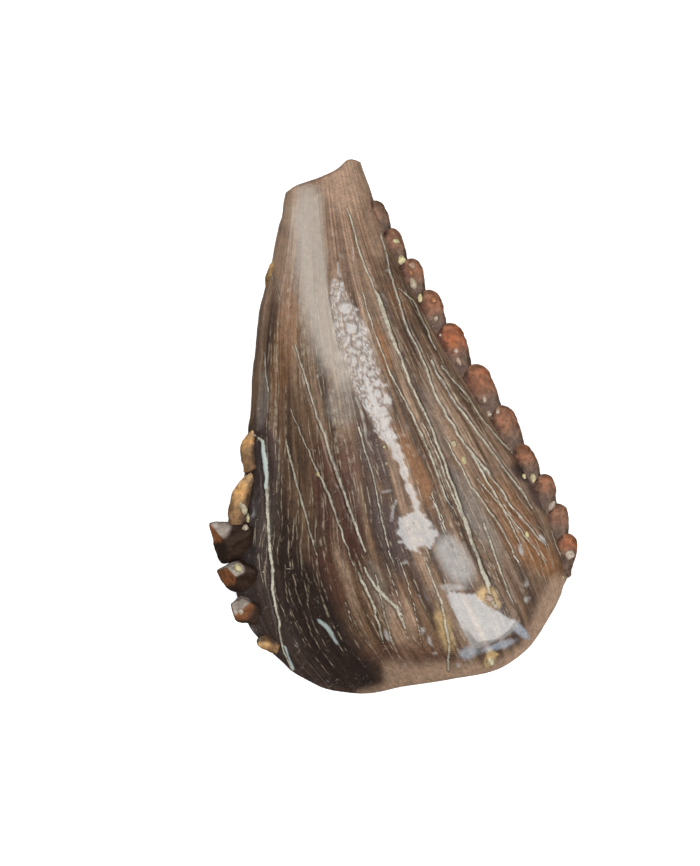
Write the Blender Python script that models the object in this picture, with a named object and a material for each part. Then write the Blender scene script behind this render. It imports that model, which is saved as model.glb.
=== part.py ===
"""Shed crown of a fossil troodon tooth, lying on its tongue side.

Run it with: blender --background --python part.py

The crown is one solid. Its faces are spanned between four edges seen from above: the
front and back cutting edges, the worn tip and the base. A place on them is (across,
down): across runs from the front edge, 0, to the back edge, 1, and down runs from the
tip, 0, to the base, 1. The cheek face bulges up from the edges and the tongue face
bulges down to the surface that the tooth lies on.

Shapes are made in millimetres, which suit Blender's tolerances on so small a thing, and
the finished mesh is scaled to metres. X runs from the front edge to the back edge, Y
from the base to the tip and Z up.
"""

import math
from dataclasses import dataclass

import bmesh
import bpy
import numpy as np
from mathutils import Matrix, Vector

METRES_PER_MM = 0.001
NODE = "tooth_crown"

# The four edges seen from above, each through its own few points.
FRONT_EDGE = [
    (-1.50, 3.27), (-1.66, 2.44), (-1.88, 1.50), (-1.97, 0.70), (-2.05, -0.20),
    (-2.14, -1.00), (-2.27, -1.72), (-2.20, -2.35), (-1.94, -2.92), (-1.44, -3.44),
]
BACK_EDGE = [
    (-0.45, 3.71), (-0.16, 2.88), (0.28, 1.95), (0.84, 0.98),
    (1.52, -0.04), (2.05, -0.92), (2.36, -1.58), (2.47, -2.08),
]
TIP_EDGE = [(-1.50, 3.27), (-1.39, 3.34), (-1.04, 3.45), (-0.78, 3.58), (-0.60, 3.73), (-0.45, 3.71)]
BASE_EDGE = [
    (-1.44, -3.44), (-0.95, -3.67), (-0.45, -3.71), (0.10, -3.59), (0.80, -3.47),
    (1.50, -3.30), (1.83, -3.06), (2.13, -2.64), (2.47, -2.08),
]

# Heights by the place down the crown, in millimetres: (down, height).
FRONT_EDGE_HEIGHT = [(0.0, 0.62), (0.4, 0.66), (0.8, 0.52), (1.0, 0.60)]
BACK_EDGE_HEIGHT = [(0.0, 0.66), (0.4, 0.90), (0.8, 0.95), (1.0, 0.86)]
CHEEK_BULGE = [(0.0, 0.36), (0.15, 0.66), (0.45, 1.14), (0.75, 1.47), (0.88, 1.44), (1.0, 0.80)]
TONGUE_BULGE = [(0.0, 0.20), (0.15, 0.38), (0.45, 0.80), (0.75, 0.90), (0.90, 0.84), (1.0, 0.52)]
# Where across the crown its crest lies: (down, across).
CREST = [(0.0, 0.40), (0.3, 0.46), (0.6, 0.55), (0.85, 0.62), (1.0, 0.66)]
# The cheek face's section, with the crest at 0.5: (across, share of the bulge). The front
# edge is a thin flange near the base, and a plain rounded edge near the tip.
FLANGED_SECTION = [
    (0.0, 0.0), (0.05, 0.05), (0.12, 0.13), (0.17, 0.29), (0.26, 0.64), (0.37, 0.90),
    (0.5, 1.0), (0.6, 0.93), (0.72, 0.71), (0.86, 0.43), (0.95, 0.22), (1.0, 0.0),
]
ROUNDED_SECTION = [(0.0, 0.0), (0.06, 0.36), (0.2, 0.76), (0.5, 1.0), (0.75, 0.78), (0.94, 0.34), (1.0, 0.0)]
TONGUE_SECTION = [(0.0, 0.0), (0.10, 0.38), (0.25, 0.78), (0.5, 1.0), (0.75, 0.78), (0.90, 0.38), (1.0, 0.0)]
FLANGE_FROM, FLANGE_FULL = 0.25, 0.60

# How the two ends stand out from their edges, by the share of the way in from the faces:
# a rolled rim around a shallow pit at the shed base, and a worn dome at the tip.
BASE_PROFILE = [(0.0, 0.0), (0.12, 0.045), (0.25, 0.05), (0.42, -0.07), (0.62, -0.27), (1.0, -0.35)]
TIP_PROFILE = [(0.0, 0.0), (0.30, 0.030), (1.0, 0.040)]
FULL_THICKNESS = 0.9

# Sampling of the faces.
ACROSS_STEPS = 32
DOWN_STEPS = 30
CAP_STEPS = 8
CAP_NARROWING = 0.6

# Sampling of a cutting tooth, and the share of it that lies below its place on the edge.
DENTICLE_RINGS = 7
DENTICLE_SIDES = 10
DENTICLE_BELOW = 0.58


@dataclass(frozen=True)
class Denticle:
    """One cutting tooth: a thumb that springs from its edge and points to the crown's tip.

    down is its place down its edge. length runs along the edge, and root_out, tip_out and
    bow say how far out of the edge its root, its tip and its middle lie. point is 0 for a
    round end and 1 for a sharp one, and lift is how far its tip rises. All but down and
    point are in millimetres.
    """

    down: float
    length: float
    width: float
    tip_out: float
    root_out: float = -0.08
    bow: float = 0.05
    depth: float = 0.32
    point: float = 0.0
    lift: float = 0.0


BACK_DENTICLES = [
    Denticle(0.119, 0.46, 0.23, -0.04),
    Denticle(0.190, 0.50, 0.27, 0.02),
    Denticle(0.269, 0.54, 0.30, 0.09),
    Denticle(0.351, 0.60, 0.31, 0.12),
    Denticle(0.442, 0.70, 0.34, 0.13),
    Denticle(0.551, 0.76, 0.36, 0.13),
    Denticle(0.649, 0.68, 0.35, 0.09),
    Denticle(0.732, 0.56, 0.27, 0.02, bow=0.07),
    Denticle(0.806, 0.44, 0.31, 0.11),
    Denticle(0.878, 0.50, 0.31, 0.10),
    Denticle(0.948, 0.46, 0.29, 0.04),
]
FRONT_DENTICLES = [
    Denticle(0.155, 0.44, 0.20, -0.06, root_out=-0.07, bow=0.02),
    Denticle(0.435, 0.55, 0.22, -0.11, root_out=-0.11, bow=0.02),
    Denticle(0.530, 0.62, 0.24, -0.09, root_out=-0.10, bow=0.04),
    Denticle(0.630, 0.66, 0.28, -0.12, root_out=-0.10, bow=0.05),
    Denticle(0.703, 0.45, 0.40, 0.31, root_out=-0.16, bow=0.0, point=0.9, lift=0.10),
    Denticle(0.784, 0.35, 0.36, 0.14, root_out=-0.20, bow=0.0, point=0.3, lift=0.08),
    Denticle(0.854, 0.28, 0.30, 0.12, root_out=-0.19, bow=0.0, point=0.3, lift=0.05),
    Denticle(0.925, 0.22, 0.22, 0.03, root_out=-0.14, bow=0.0),
]


def curve_at(points, shares):
    """Points on the smooth curve through some points, at shares of its length."""
    knots = np.array(points, float)
    steps = np.linalg.norm(np.diff(knots, axis=0), axis=1)
    at = np.concatenate([[0.0], np.cumsum(steps)]) / steps.sum()
    slopes = np.gradient(knots, at, axis=0)
    shares = np.asarray(shares, float)
    i = np.clip(np.searchsorted(at, shares, side="right") - 1, 0, len(at) - 2)
    span = at[i + 1] - at[i]
    t = (shares - at[i]) / span
    t, span = t[..., None], span[..., None]
    return (
        (2 * t**3 - 3 * t**2 + 1) * knots[i]
        + (t**3 - 2 * t**2 + t) * span * slopes[i]
        + (3 * t**2 - 2 * t**3) * knots[i + 1]
        + (t**3 - t**2) * span * slopes[i + 1]
    )


def value_at(table, x):
    """A value on the smooth curve through a table of (x, value), with no overshoot."""
    xs, ys = np.array(table, float).T
    secants = np.diff(ys) / np.diff(xs)
    slopes = np.zeros_like(ys)
    slopes[0], slopes[-1] = secants[0], secants[-1]
    for i in range(1, len(ys) - 1):
        before, after = secants[i - 1], secants[i]
        if before * after > 0:
            slopes[i] = 2 * before * after / (before + after)
    x = np.clip(x, xs[0], xs[-1])
    i = np.clip(np.searchsorted(xs, x, side="right") - 1, 0, len(xs) - 2)
    span = xs[i + 1] - xs[i]
    t = (x - xs[i]) / span
    return (
        (2 * t**3 - 3 * t**2 + 1) * ys[i]
        + (t**3 - 2 * t**2 + t) * span * slopes[i]
        + (3 * t**2 - 2 * t**3) * ys[i + 1]
        + (t**3 - t**2) * span * slopes[i + 1]
    )


def smooth_step(low, high, x):
    """0 below low, 1 above high and a smooth rise between."""
    t = np.clip((x - low) / (high - low), 0.0, 1.0)
    return t * t * (3 - 2 * t)


def from_above(across, down):
    """The XY place on the crown, spanned between its four edges."""
    a, d = across[..., None], down[..., None]
    corners = (
        (1 - a) * (1 - d) * np.array(TIP_EDGE[0])
        + a * (1 - d) * np.array(TIP_EDGE[-1])
        + (1 - a) * d * np.array(BASE_EDGE[0])
        + a * d * np.array(BASE_EDGE[-1])
    )
    sides = (1 - a) * curve_at(FRONT_EDGE, down) + a * curve_at(BACK_EDGE, down)
    ends = (1 - d) * curve_at(TIP_EDGE, across) + d * curve_at(BASE_EDGE, across)
    return sides + ends - corners


def edge_height(across, down):
    """Height of the surface that joins the two cutting edges."""
    front, back = value_at(FRONT_EDGE_HEIGHT, down), value_at(BACK_EDGE_HEIGHT, down)
    return (1 - across) * front + across * back


def about_crest(across, down):
    """The place across, stretched so that the crest is at 0.5."""
    crest = value_at(CREST, down)
    before = 0.5 * across / crest
    after = 0.5 + 0.5 * (across - crest) / (1 - crest)
    return np.where(across < crest, before, after)


def cheek_height(across, down):
    """Height of the bulging face that the tooth shows."""
    place = about_crest(across, down)
    flange = smooth_step(FLANGE_FROM, FLANGE_FULL, down)
    section = (1 - flange) * value_at(ROUNDED_SECTION, place) + flange * value_at(FLANGED_SECTION, place)
    return edge_height(across, down) + value_at(CHEEK_BULGE, down) * section


def tongue_height(across, down):
    """Height of the flatter face that the tooth lies on."""
    section = value_at(TONGUE_SECTION, about_crest(across, down))
    return edge_height(across, down) - value_at(TONGUE_BULGE, down) * section


def ring_of(across, down):
    """A closed ring of points around the crown: over the cheek face, back under the tongue face."""
    level = np.full_like(across, down)
    flat = from_above(across, level)
    over = np.column_stack([flat, cheek_height(across, level)])
    under = np.column_stack([flat, tongue_height(across, level)])
    return over, under


def outward_at(edge, across):
    """Unit directions that point off the crown at its tip or base edge."""
    nudge = 1e-3
    ahead = curve_at(edge, np.clip(across + nudge, 0, 1))
    behind = curve_at(edge, np.clip(across - nudge, 0, 1))
    along = ahead - behind
    out = np.column_stack([-along[:, 1], along[:, 0]])
    if edge is BASE_EDGE:
        out = -out
    return out / np.linalg.norm(out, axis=1, keepdims=True)


def cap_rings(over, under, edge, across, profile):
    """Rings that close one end of the crown, drawn in to a short line midway between its faces."""
    middle = (over + under) / 2
    half = (over - under)[:, 2] / 2
    rings = []
    for step in range(1, CAP_STEPS + 1):
        drawn_in = step / CAP_STEPS
        place = 0.5 + (across - 0.5) * (1 - CAP_NARROWING * drawn_in)
        half_there = np.interp(place, across, half)
        offset = half * (1 - drawn_in)
        fullness = smooth_step(0.0, FULL_THICKNESS, 2 * half_there)
        reach = fullness * value_at(profile, 1 - offset / half_there)
        line = np.column_stack([np.interp(place, across, column) for column in middle.T])
        line[:, :2] += outward_at(edge, place) * reach[:, None]
        lift = np.column_stack([np.zeros_like(line[:, :2]), offset])
        rings.append((line + lift, line - lift))
    return rings


def mesh_of_rings(rings):
    """One closed mesh of rings, whose first and last rings are closed to a line by merging."""
    mesh = bmesh.new()
    rows = []
    for over, under in rings:
        loop = np.vstack([over, under[-2:0:-1]])
        rows.append([mesh.verts.new(point) for point in loop])
    for above, below in zip(rows, rows[1:]):
        for i in range(len(above)):
            j = (i + 1) % len(above)
            mesh.faces.new((above[i], below[i], below[j], above[j]))
    bmesh.ops.remove_doubles(mesh, verts=rows[0] + rows[-1], dist=1e-5)
    bmesh.ops.recalc_face_normals(mesh, faces=mesh.faces)
    return mesh


def crown_mesh():
    """The crown without its cutting teeth, cut flat where it lies."""
    even = np.linspace(0.0, 1.0, ACROSS_STEPS + 1)
    across = 0.5 * even + 0.25 * (1 - np.cos(math.pi * even))
    rings = [ring_of(across, down) for down in np.linspace(0.0, 1.0, DOWN_STEPS + 1)]
    tip = cap_rings(*rings[0], TIP_EDGE, across, TIP_PROFILE)
    base = cap_rings(*rings[-1], BASE_EDGE, across, BASE_PROFILE)
    mesh = mesh_of_rings(tip[::-1] + rings + base)
    cut = bmesh.ops.bisect_plane(
        mesh,
        geom=mesh.verts[:] + mesh.edges[:] + mesh.faces[:],
        plane_co=(0, 0, 0),
        plane_no=(0, 0, -1),
        clear_outer=True,
    )
    rim = [item for item in cut["geom_cut"] if isinstance(item, bmesh.types.BMEdge)]
    bmesh.ops.contextual_create(mesh, geom=rim)
    return mesh


def denticle_mesh(denticle, edge, heights):
    """One cutting tooth, as rings along its bowed middle line and closed at both ends."""
    along = curve_at(edge, denticle.down + np.array([-0.01, 0.0, 0.01]))
    towards_tip = Vector(along[0] - along[2]).normalized()
    side = 1 if edge is BACK_EDGE else -1
    out = Vector((towards_tip.y, -towards_tip.x)) * side
    foot = Vector(along[1])
    height = float(value_at(heights, denticle.down))
    rise = denticle.tip_out - denticle.root_out
    round_from = 0.5 * (1 - denticle.point)
    mesh = bmesh.new()
    rows = []
    for ring in range(DENTICLE_RINGS + 1):
        way = ring / DENTICLE_RINGS
        past = max(0.0, (way - round_from) / (1 - round_from))
        swell = (1 - past**2) ** (0.5 + 0.5 * denticle.point)
        reach = denticle.root_out + rise * way + denticle.bow * math.sin(math.pi * way)
        centre = foot + out * reach + towards_tip * denticle.length * (way - DENTICLE_BELOW)
        slope = (rise + denticle.bow * math.pi * math.cos(math.pi * way)) / denticle.length
        across = (out - towards_tip * slope).normalized()
        turns = np.linspace(0, 2 * math.pi, DENTICLE_SIDES, endpoint=False)
        row = []
        for turn in turns if swell > 0 else turns[:1]:
            flat = centre + across * (math.cos(turn) * swell * denticle.width / 2)
            z = height + denticle.lift * way + math.sin(turn) * swell * denticle.depth / 2
            row.append(mesh.verts.new((flat.x, flat.y, z)))
        rows.append(row)
    end = rows.pop()[0]
    for lower, upper in zip(rows, rows[1:]):
        for s in range(DENTICLE_SIDES):
            n = (s + 1) % DENTICLE_SIDES
            mesh.faces.new((lower[s], lower[n], upper[n], upper[s]))
    for s in range(DENTICLE_SIDES):
        mesh.faces.new((rows[-1][s], rows[-1][(s + 1) % DENTICLE_SIDES], end))
    mesh.faces.new(rows[0])
    bmesh.ops.recalc_face_normals(mesh, faces=mesh.faces)
    return mesh


def add_object(name, mesh):
    """A scene object that holds a bmesh, which is then freed."""
    data = bpy.data.meshes.new(name)
    mesh.to_mesh(data)
    mesh.free()
    made = bpy.data.objects.new(name, data)
    bpy.context.scene.collection.objects.link(made)
    return made


def fused(body, additions):
    """The mesh of a body with its additions joined to it by Boolean unions."""
    for addition in additions:
        union = body.modifiers.new(addition.name, "BOOLEAN")
        union.operation = "UNION"
        union.solver = "EXACT"
        union.object = addition
    graph = bpy.context.evaluated_depsgraph_get()
    return bpy.data.meshes.new_from_object(body.evaluated_get(graph))


def bottom_centre(mesh):
    """The middle of the underside of a mesh's box."""
    places = [vertex.co for vertex in mesh.vertices]
    low = Vector(map(min, zip(*places)))
    high = Vector(map(max, zip(*places)))
    return Vector(((low.x + high.x) / 2, (low.y + high.y) / 2, low.z))


def fossil_enamel():
    """Glossy brown enamel, stained dark in the rock."""
    material = bpy.data.materials.new("fossil_enamel")
    material.use_nodes = True
    surface = material.node_tree.nodes["Principled BSDF"]
    surface.inputs["Base Color"].default_value = (0.17, 0.10, 0.065, 1.0)
    surface.inputs["Roughness"].default_value = 0.28
    surface.inputs["Metallic"].default_value = 0.0
    return material


def clear_scene():
    """Removes whatever the startup scene holds."""
    for item in list(bpy.data.objects):
        bpy.data.objects.remove(item)


def main():
    """Builds the tooth crown as one object at its real size."""
    clear_scene()
    body = add_object("body", crown_mesh())
    denticles = []
    for edge, heights, row in (
        (BACK_EDGE, BACK_EDGE_HEIGHT, BACK_DENTICLES),
        (FRONT_EDGE, FRONT_EDGE_HEIGHT, FRONT_DENTICLES),
    ):
        for denticle in row:
            denticles.append(add_object("denticle", denticle_mesh(denticle, edge, heights)))
    mesh = fused(body, denticles)
    for helper in [body, *denticles]:
        bpy.data.objects.remove(helper)
    mesh.name = NODE
    mesh.transform(Matrix.Translation(-bottom_centre(mesh)))
    mesh.transform(Matrix.Scale(METRES_PER_MM, 4))
    mesh.shade_smooth()
    mesh.materials.clear()
    mesh.materials.append(fossil_enamel())
    tooth = bpy.data.objects.new(NODE, mesh)
    bpy.context.scene.collection.objects.link(tooth)


if __name__ == "__main__":
    main()
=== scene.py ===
"""Looks of the fossil troodon tooth: a shed crown that lies on its tongue side.

Shapes are made in millimetres, in the same place as the solid, and each finished mesh is
scaled to metres. X runs from the front edge to the toothed back edge, Y from the shed
base to the worn tip and Z up. A place on the crown is (across, down): across runs from
the front edge, 0, to the back edge, 1, and down runs from the tip, 0, to the base, 1.
"""

import itertools
import logging
import math
from collections.abc import Iterable, Sequence
from dataclasses import dataclass, field
from enum import Enum

import bmesh
import bpy
import numpy as np
from mathutils import Matrix, Vector
from mathutils.bvhtree import BVHTree


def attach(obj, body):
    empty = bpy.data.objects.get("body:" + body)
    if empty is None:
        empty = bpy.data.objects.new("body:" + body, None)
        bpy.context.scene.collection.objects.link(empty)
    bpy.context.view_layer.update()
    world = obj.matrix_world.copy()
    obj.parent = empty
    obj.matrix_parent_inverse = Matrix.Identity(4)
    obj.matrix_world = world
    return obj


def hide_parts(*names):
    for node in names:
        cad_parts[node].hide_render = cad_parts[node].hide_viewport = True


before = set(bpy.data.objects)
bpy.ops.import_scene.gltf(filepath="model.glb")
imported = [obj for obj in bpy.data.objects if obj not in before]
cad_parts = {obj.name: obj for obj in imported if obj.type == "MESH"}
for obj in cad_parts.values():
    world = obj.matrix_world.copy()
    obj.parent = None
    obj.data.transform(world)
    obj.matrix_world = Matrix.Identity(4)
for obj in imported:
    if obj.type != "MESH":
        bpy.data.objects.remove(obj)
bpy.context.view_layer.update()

Point = tuple[float, float]
Route = tuple[Point, ...]
Colour = tuple[int, int, int]
Array = np.ndarray
Socket = bpy.types.NodeSocket

METRES_PER_MM = 0.001
NODE = "tooth_crown"
BODY = "root"
BAKE_MAP = "OFBake"
# How high above the floor, in metres, a probe for the highest surface starts.
PROBE_FROM = 0.02
# The middle of the solid's box before it is moved to the origin.
ORIGIN = np.array([0.0174, -0.0028, 0.0])

log = logging.getLogger("fossil_tooth")


def eased(knots: Array, slopes: Array, i: Array, t: Array, span: Array) -> Array:
    """Values on a smooth curve between knot i and the next one.

    Args:
        knots: Values at the knots.
        slopes: The curve's slopes there.
        i: The knot before each value.
        t: How far each is on the way to the next knot, from 0 to 1.
        span: How far apart those two knots are.

    Returns:
        One value for each i.
    """
    return (
        (2 * t**3 - 3 * t**2 + 1) * knots[i]
        + (t**3 - 2 * t**2 + t) * span * slopes[i]
        + (3 * t**2 - 2 * t**3) * knots[i + 1]
        + (t**3 - t**2) * span * slopes[i + 1]
    )


def curve_at(points: Sequence[Point], shares: Array) -> Array:
    """Points on the smooth curve through some points.

    Args:
        points: The points that the curve passes through.
        shares: Shares of its length, from 0 to 1.

    Returns:
        One point for each share.
    """
    knots = np.array(points, float)
    steps = np.linalg.norm(np.diff(knots, axis=0), axis=1)
    at = np.concatenate([[0.0], np.cumsum(steps)]) / steps.sum()
    slopes = np.gradient(knots, at, axis=0)
    shares = np.asarray(shares, float)
    i = np.clip(np.searchsorted(at, shares, side="right") - 1, 0, len(at) - 2)
    span = (at[i + 1] - at[i])[..., None]
    return eased(knots, slopes, i, (shares - at[i])[..., None] / span, span)


def value_at(table: Sequence[Point], x: Array) -> Array:
    """Values on the smooth curve through a table, with no overshoot.

    Args:
        table: Pairs of (x, value), in order of x.
        x: Where to read it.

    Returns:
        One value for each x.
    """
    xs, ys = np.array(table, float).T
    secants = np.diff(ys) / np.diff(xs)
    slopes = np.zeros_like(ys)
    slopes[0], slopes[-1] = secants[0], secants[-1]
    for i in range(1, len(ys) - 1):
        before, after = secants[i - 1], secants[i]
        if before * after > 0:
            slopes[i] = 2 * before * after / (before + after)
    x = np.clip(x, xs[0], xs[-1])
    i = np.clip(np.searchsorted(xs, x, side="right") - 1, 0, len(xs) - 2)
    span = xs[i + 1] - xs[i]
    return eased(ys, slopes, i, (x - xs[i]) / span, span)


def smooth_step(low: float, high: float, x: Array) -> Array:
    """0 below low, 1 above high and a smooth rise between; falls where high is the lower."""
    t = np.clip((x - low) / (high - low), 0.0, 1.0)
    return t * t * (3 - 2 * t)


def hashed(cells: Array, seed: int) -> Array:
    """A repeatable value from 0 to 1 for each whole-number cell."""
    mixed = np.full(cells.shape[:-1], seed * 7919 + 17, np.uint32)
    for axis in range(cells.shape[-1]):
        mixed = mixed ^ cells[..., axis].astype(np.int64).astype(np.uint32)
        mixed = mixed * np.uint32(0x9E3779B1)
        mixed = mixed ^ (mixed >> np.uint32(15))
        mixed = mixed * np.uint32(0x85EBCA77)
        mixed = mixed ^ (mixed >> np.uint32(13))
    return mixed / 2.0**32


def soft_noise(places: Array, cell: float, seed: int, layers: int = 3) -> Array:
    """Smooth layered noise.

    Args:
        places: Where to read it, in millimetres, with 2 or 3 numbers each.
        cell: Size of its largest lumps, in millimetres.
        seed: Which noise.
        layers: How many ever finer noises it sums.

    Returns:
        Values from 0 to 1, mostly near 0.5.
    """
    total = np.zeros(places.shape[:-1])
    weight = 0.0
    for layer in range(layers):
        scaled = places / (cell / 2**layer)
        low = np.floor(scaled)
        t = scaled - low
        t = t * t * (3 - 2 * t)
        share = 0.5**layer
        weight += share
        for corner in itertools.product((0.0, 1.0), repeat=places.shape[-1]):
            near = np.prod(np.where(np.array(corner) > 0, t, 1 - t), axis=-1)
            total += share * near * hashed(low + np.array(corner), seed + layer)
    return total / weight


def pebbles(places: Array, cell: float, seed: int) -> Array:
    """How far a place lies inside its own pebble.

    Args:
        places: Where to read it, in millimetres, seen from above.
        cell: Size of a pebble, in millimetres.
        seed: Which pebbles.

    Returns:
        0 on the joints between pebbles, and up to about 1 in their middles.
    """
    scaled = places / cell
    home = np.floor(scaled)
    nearest = np.full(places.shape[:-1], 9.0)
    second = nearest.copy()
    for step in itertools.product((-1.0, 0.0, 1.0), repeat=2):
        there = home + np.array(step)
        middle = there + np.stack([hashed(there, seed), hashed(there, seed + 1)], axis=-1)
        gap = np.linalg.norm(middle - scaled, axis=-1)
        second = np.minimum(second, np.maximum(nearest, gap))
        nearest = np.minimum(nearest, gap)
    return np.clip(second - nearest, 0.0, 1.0)


def warped(places: Array, reach: float, cell: float, seed: int) -> Array:
    """Places moved about by smooth noise, so that what is drawn on them wanders."""
    shift = np.stack([soft_noise(places, cell, seed), soft_noise(places, cell, seed + 50)], axis=-1)
    return places + (shift - 0.5) * 2 * reach


class Tint(Enum):
    """The stains and mineral that colour the enamel, and the painted highlight and shade laid on it, each a
    mask on the crown.
    """

    ORANGE = "orange"
    RED = "red"
    DARK = "dark"
    VIOLET = "violet"
    GREY = "grey"
    # Paler enamel down the upper cheek face by the front edge, partly a painted reflection.
    CREAM_AND_SHEEN = "cream_and_sheen"
    TAN = "tan"
    # A bubbly mineral crust, its pale tint partly painted highlight.
    CRUST_AND_SHEEN = "crust_and_sheen"
    # Pale chalky mineral, and painted highlight on the polished patches and crest.
    CHALK_AND_HIGHLIGHT = "chalk_and_highlight"
    YELLOW = "yellow"
    # Painted highlight: the bluish fringe of the white highlight patch.
    BLUE = "blue"
    # Painted shade in the notches between the cutting teeth and along the foot of the front edge.
    POCKET_SHADE = "pocket_shade"


@dataclass(frozen=True)
class Seam:
    """A band along a course, such as a mineral-filled crack, with a half width for each place of it."""

    course: Route
    half_widths: tuple[float, ...]

    def closeness(self, places: Array, reach: float = 1.0) -> Array:
        """How near places lie to the course.

        Args:
            places: Where to read it, seen from above.
            reach: How many half-widths out it falls to 0.

        Returns:
            1 on the course, falling evenly to 0.
        """
        best = np.zeros(places.shape[:-1])
        ends = list(zip(self.course, self.half_widths))
        for (start, wide), (stop, next_wide) in zip(ends, ends[1:]):
            along = np.array(stop) - np.array(start)
            share = np.clip((places - np.array(start)) @ along / (along @ along), 0.0, 1.0)
            gap = np.linalg.norm(places - np.array(start) - share[..., None] * along, axis=-1)
            half = wide + (next_wide - wide) * share
            best = np.maximum(best, 1 - gap / (half * reach))
        return np.clip(best, 0.0, 1.0)


@dataclass(frozen=True)
class Spot:
    """A soft oval stain. turn is how far its long axis leans from the Y axis, in degrees."""

    tint: Tint
    at: Point
    long: float
    wide: float
    turn: float = 0.0
    strength: float = 1.0
    softness: float = 0.35

    def cover(self, places: Array) -> Array:
        """How much of the stain is at each place, from 0 to its strength."""
        lean = math.radians(self.turn)
        gap = places - np.array(self.at)
        along = gap @ np.array([-math.sin(lean), math.cos(lean)])
        beside = gap @ np.array([math.cos(lean), math.sin(lean)])
        out = np.hypot(along / self.long, beside / self.wide)
        return self.strength * smooth_step(1 + self.softness, 1 - self.softness, out)


@dataclass(frozen=True)
class Area:
    """A stain with an outline of its own, and the breadth over which its border fades."""

    tint: Tint
    outline: Route
    fade: float
    strength: float = 1.0

    def depth(self, places: Array) -> Array:
        """How far inside the outline each place lies, in millimetres, less than 0 outside."""
        inside = np.zeros(places.shape[:-1], bool)
        nearest = np.full(places.shape[:-1], 99.0)
        corners = [np.array(corner) for corner in self.outline]
        for start, stop in zip(corners, corners[1:] + corners[:1]):
            along = stop - start
            share = np.clip((places - start) @ along / (along @ along), 0.0, 1.0)
            gap = np.linalg.norm(places - start - share[..., None] * along, axis=-1)
            nearest = np.minimum(nearest, gap)
            spans = (start[1] > places[..., 1]) != (stop[1] > places[..., 1])
            if along[1] != 0:
                crossing = start[0] + (places[..., 1] - start[1]) * along[0] / along[1]
                inside ^= spans & (places[..., 0] < crossing)
        return np.where(inside, nearest, -nearest)

    def cover(self, places: Array) -> Array:
        """How much of the stain is at each place, from 0 to its strength."""
        return self.strength * smooth_step(-self.fade / 2, self.fade / 2, self.depth(places))


def route(*numbers: int) -> Route:
    """A route from the x and y of its places in turn, in hundredths of a millimetre."""
    return tuple((x / 100, y / 100) for x, y in zip(numbers[::2], numbers[1::2]))


def seam(*numbers: int) -> Seam:
    """A seam from each place's x and y, in hundredths of a millimetre, and half width, in thousandths."""
    course = tuple((x / 100, y / 100) for x, y in zip(numbers[::3], numbers[1::3]))
    return Seam(course, tuple(half / 1000 for half in numbers[2::3]))


def seams(*rows: tuple[int, ...]) -> tuple[Seam, ...]:
    """Several seams, each from its own row of numbers."""
    return tuple(seam(*row) for row in rows)


def spots(tint: Tint, *rows: tuple[float, ...]) -> tuple[Spot, ...]:
    """Spots of one tint, from rows of x, y, long, wide and, where they differ, turn and strength."""
    return tuple(Spot(tint, row[:2], *row[2:]) for row in rows)


@dataclass
class Skin:
    """The crown's surface as rings of places around it, from the worn tip to the base's pit."""

    points: Array
    across: Array
    down: Array
    cheek: Array
    ends: Array
    cheek_steps: int
    tongue_steps: int

    @property
    def plan(self) -> Array:
        """Where each place lies, seen from above."""
        return self.points[..., :2]

    def outward(self) -> Array:
        """Unit directions that point out of the surface."""
        along = np.gradient(self.points, axis=0)
        around = np.roll(self.points, -1, axis=1) - np.roll(self.points, 1, axis=1)
        out = np.cross(along, around)
        length = np.linalg.norm(out, axis=-1, keepdims=True)
        out = out / np.maximum(length, 1e-12)
        top = self.cheek_steps // 2
        return out * np.sign(out[len(out) // 2, top, 2])

    def raise_by(self, heights: Array) -> None:
        """Moves each place outwards by a height in millimetres."""
        self.points = self.points + self.outward() * heights[..., None]


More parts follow.
